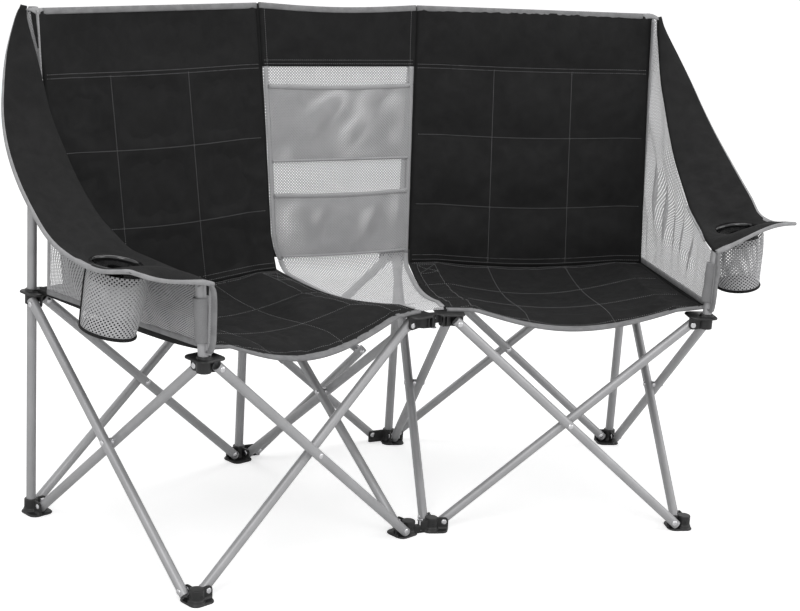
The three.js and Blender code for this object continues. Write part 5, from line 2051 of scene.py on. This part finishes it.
def wrinkled(grid, normals, count, height, seed, slant=0.6):
    """Soft diagonal creases that fade out towards the edges."""
    generator = np.random.default_rng(seed)
    rows, columns = grid.shape[:2]
    places = grid_places(grid).reshape(rows, columns, 2)
    over = np.linspace(0, 1, rows)[:, None]
    along = np.linspace(0, 1, columns)[None, :]
    envelope = np.clip(np.sin(over * math.pi) * 1.6, 0, 1) * np.clip(np.sin(along * math.pi) * 1.6, 0, 1)
    waves = np.zeros((rows, columns))
    for _ in range(count):
        length = generator.uniform(0.05, 0.12)
        turn = generator.uniform(-slant, slant) + math.pi / 2 * generator.choice([0.35, 0.65, 1.0])
        phase = generator.uniform(0, 2 * math.pi)
        way = places[..., 0] * math.cos(turn) + places[..., 1] * math.sin(turn)
        waves += np.sin(way * 2 * math.pi / length + phase)
    return grid + normals * (waves / max(1, count) * height * envelope)[..., None]


def middle_band(fold):
    """The plain black band at the panel's top, with its tape and stitches."""
    band, normals = panel_part(0.0, BAND_FOOT)
    drop = BAND_DROP * np.sin(np.linspace(0, 1, band.shape[1]) * math.pi)
    fade = np.linspace(1, 0, band.shape[0])
    band[..., 2] -= drop[None, :] * fade[:, None]
    sides = closed_sheet(band + normals * BAND_FRONT, band - normals * BAND_REAR)
    band_piece = recalculate(single("middle_band", sides, CLOTH))
    fold.take(band_piece, "black_fabric")
    edge = band[0]
    inward = band[2] - edge
    tape = binding("middle_band_top_binding", edge, inward, normals[0], *BAND_TAPE)
    fold.take(tape, "light_mesh")
    tree = tree_of(band_piece)
    rows = []
    for share in (0.03, 0.97):
        v = np.linspace(0.01, BAND_FOOT, 30)
        rows.append(middle_place(np.full(30, share), v))
    for offset in (0.006, 0.014):
        rows.append(middle_place(np.linspace(0.01, 0.99, 40), np.full(40, BAND_FOOT - offset)))
    stitches = stitch_piece("middle_band_stitches", tree, rows, FRONT)
    fold.take(stitches, "light_mesh")


def middle_nets(fold, front):
    """The net between the backs, and the wedge of net between the seats."""
    upper, normals = panel_part(BAND_FOOT, MIDDLE_SPLIT)
    upper = wrinkled(upper, normals, 3, UPPER_WRINKLE, 3)
    panel = build_net("middle_panel", upper, NET, fold, "middle_panel")
    declare_sheet(upper)
    wedge, normals = panel_part(MIDDLE_SPLIT, 1.0)
    wedge = wrinkled(wedge, normals, 2, WEDGE_WRINKLE, 5)
    panel = build_net("middle_wedge", wedge, NET, front)
    declare_sheet(wedge)


def panel_pocket(word, shares, seed, fold):
    """A slack net pocket on the panel, with a hem at its mouth and a seam at its foot."""
    grid, normals = panel_part(*shares, POCKET_LIFT, POCKET_MARGIN_SHARE)
    rows, columns = grid.shape[:2]
    slack = np.sin(np.linspace(0, 1, rows) * math.pi) ** 0.7
    across = np.sin(np.linspace(0, 1, columns) * math.pi)
    grid = grid + normals * (np.outer(slack, across) * POCKET_SLACK)[..., None]
    mouth = np.exp(-np.linspace(0, 1, rows) * 6)
    grid[..., 2] -= np.outer(mouth, across) * POCKET_SLACK
    grid = wrinkled(grid, normals, 4, POCKET_SLACK, seed)
    # The pocket's net is darker than the panel's: painted shade of the doubled layer.
    pocket = build_net(f"{word}_pocket", grid, POCKET_NET_PAINTED_SHADE, fold, f"{word}_pocket")
    declare_sheet(grid)
    edges = (("hem", grid[1], normals[0], POCKET_HEM), ("seam", grid[-1], normals[-1], POCKET_SEAM))
    for part, path, normal, size in edges:
        tape = strap(f"{word}_pocket_{part}", path + normal * HEM_RISE, normal, *size, HEM)
        fold.take(tape, "light_mesh")


def middle_hems(fold, front):
    """A folded hem along each side of the two nets."""
    for word, u in (("left", 0.02), ("right", 0.98)):
        spans = (("upper", BAND_FOOT, MIDDLE_SPLIT, fold), ("wedge", MIDDLE_SPLIT, 0.985, front))
        for part, low, high, part_fold in spans:
            v = np.linspace(low, high, 80)
            path = middle_place(np.full(80, u), v)
            inner = middle_place(np.full(80, 0.5), v)
            pair = [path, inner] if word == "left" else [inner, path]
            normals = grid_normals(np.stack(pair, axis=1), FRONT + UP)[:, 0]
            lifted = path + normals * SIDE_HEM_RISE
            tape = strap(f"middle_{word}_{part}_hem", lifted, normals, *SIDE_HEM, HEM)
            part_fold.take(tape, "light_mesh")


def middle_joints(fold):
    """Folds of cloth that join the panel's two edges to the backs behind them."""
    foot = float(back_foot(0))
    v = np.linspace(0.002, share_at_height(foot + MIDDLE_BEND), 120)
    for chair, u in zip(chairs, (0.0, 1.0)):
        front = middle_place(np.full(len(v), u), v)
        share = np.clip((front[:, 2] - foot) / (BACK_HEIGHT - foot), 0, 0.995)
        behind = back_place(chair, np.full(len(v), 0.006), share, 0.0)
        behind[:, 2] = front[:, 2]
        strip = np.stack([mix(front, behind, step) for step in (0.0, 0.5, 1.0)], axis=1)
        sides = closed_sheet(strip + chair.out * JOINT_HALF, strip - chair.out * JOINT_HALF)
        piece = recalculate(single(f"middle_{chair.side}_joint", sides, CLOTH))
        fold.take(piece, "black_fabric")


def middle_panel():
    fold = back_part_fold()
    front = wedge_fold()
    middle_band(fold)
    middle_nets(fold, front)
    panel_pocket("upper", UPPER_POCKET_SHARES, 8, fold)
    panel_pocket("lower", LOWER_POCKET_SHARES, 9, fold)
    middle_hems(fold, front)
    middle_joints(fold)


middle_panel()


# Stage

FLOOR_REACH = 14.0
ROOM_LIGHT = 0.55
FLOOR_GLOW = 0.56  # what the floor lacks to be white in the picture
LAMPS = (
    ("key_light", (-2.2, -2.6, 3.2), 2.2, 42),
    ("fill_light", (3.0, -2.2, 2.2), 2.6, 24),
    ("top_light", (0.2, 0.4, 3.6), 2.6, 30),
)
LAMP_TARGET = (0, 0, 0.4)
CAMERA_OFFSET = (-1.4628, -2.5936, 1.2390)  # from the hinge between the chairs
CAMERA_FORWARD = (0.4564, 0.8522, -0.2558)
CAMERA_UP = (0.0647, 0.2549, 0.9648)
LENS = 74.07
SENSOR = 36
FAR = 60


def camera_share(tree):
    """1 for rays from the camera, also by way of a mirror or glass, and 0 for light."""
    rays = tree.nodes.new("ShaderNodeLightPath")
    share = rays.outputs["Is Camera Ray"]
    for kind in ("Is Glossy Ray", "Is Transmission Ray"):
        most = tree.nodes.new("ShaderNodeMath")
        most.operation = "MAXIMUM"
        tree.links.new(share, most.inputs[0])
        tree.links.new(rays.outputs[kind], most.inputs[1])
        share = most.outputs[0]
    return share


def floor_material():
    nodes = Nodes("floor_white")
    seen = nodes.node("ShaderNodeLightPath").outputs["Is Camera Ray"]
    glow = nodes.maths("MULTIPLY", seen, FLOOR_GLOW)
    return nodes.finish(Base_Color=(0.9, 0.9, 0.9, 1), Roughness=0.9, Specular_IOR_Level=0.1,
                        Emission_Color=(1, 1, 1, 1), Emission_Strength=glow)


def stage():
    scene = bpy.context.scene
    floor_mesh = bpy.data.meshes.new("floor")
    corners = [(x * FLOOR_REACH, y * FLOOR_REACH, 0) for x, y in ((-1, -1), (1, -1), (1, 1), (-1, 1))]
    floor_mesh.from_pydata(corners, [], [[0, 1, 2, 3]])
    floor = bpy.data.objects.new("floor", floor_mesh)
    scene.collection.objects.link(floor)
    floor_mesh.materials.append(floor_material())
    for name, place, size, power in LAMPS:
        data = bpy.data.lights.new(name, "AREA")
        data.shape = "DISK"
        data.size = size
        data.energy = power
        lamp = bpy.data.objects.new(name, data)
        lamp.location = place
        lamp.rotation_euler = (Vector(LAMP_TARGET) - Vector(place)).to_track_quat("-Z", "Y").to_euler()
        scene.collection.objects.link(lamp)
    world = bpy.data.worlds.new("white_room")
    scene.world = world
    world.use_nodes = True
    tree = world.node_tree
    back = tree.nodes["Background"]
    back.inputs["Color"].default_value = (1, 1, 1, 1)
    level = tree.nodes.new("ShaderNodeMapRange")
    level.inputs["To Min"].default_value = ROOM_LIGHT
    level.inputs["To Max"].default_value = 1.0
    tree.links.new(camera_share(tree), level.inputs["Value"])
    tree.links.new(level.outputs["Result"], back.inputs["Strength"])


def camera():
    scene = bpy.context.scene
    data = bpy.data.cameras.new("photo_camera")
    data.sensor_width = SENSOR
    data.lens = LENS
    data.clip_end = FAR
    view = bpy.data.objects.new("photo_camera", data)
    forward = Vector(CAMERA_FORWARD).normalized()
    right = forward.cross(Vector(CAMERA_UP)).normalized()
    turn = Matrix((right, right.cross(forward), -forward)).transposed()
    place = Vector(hinge_axis()) + Vector(CAMERA_OFFSET)
    view.matrix_world = Matrix.Translation(place) @ turn.to_4x4()
    scene.collection.objects.link(view)
    scene.camera = view


stage()
camera()
scene = bpy.context.scene
scene.view_settings.view_transform = "Standard"
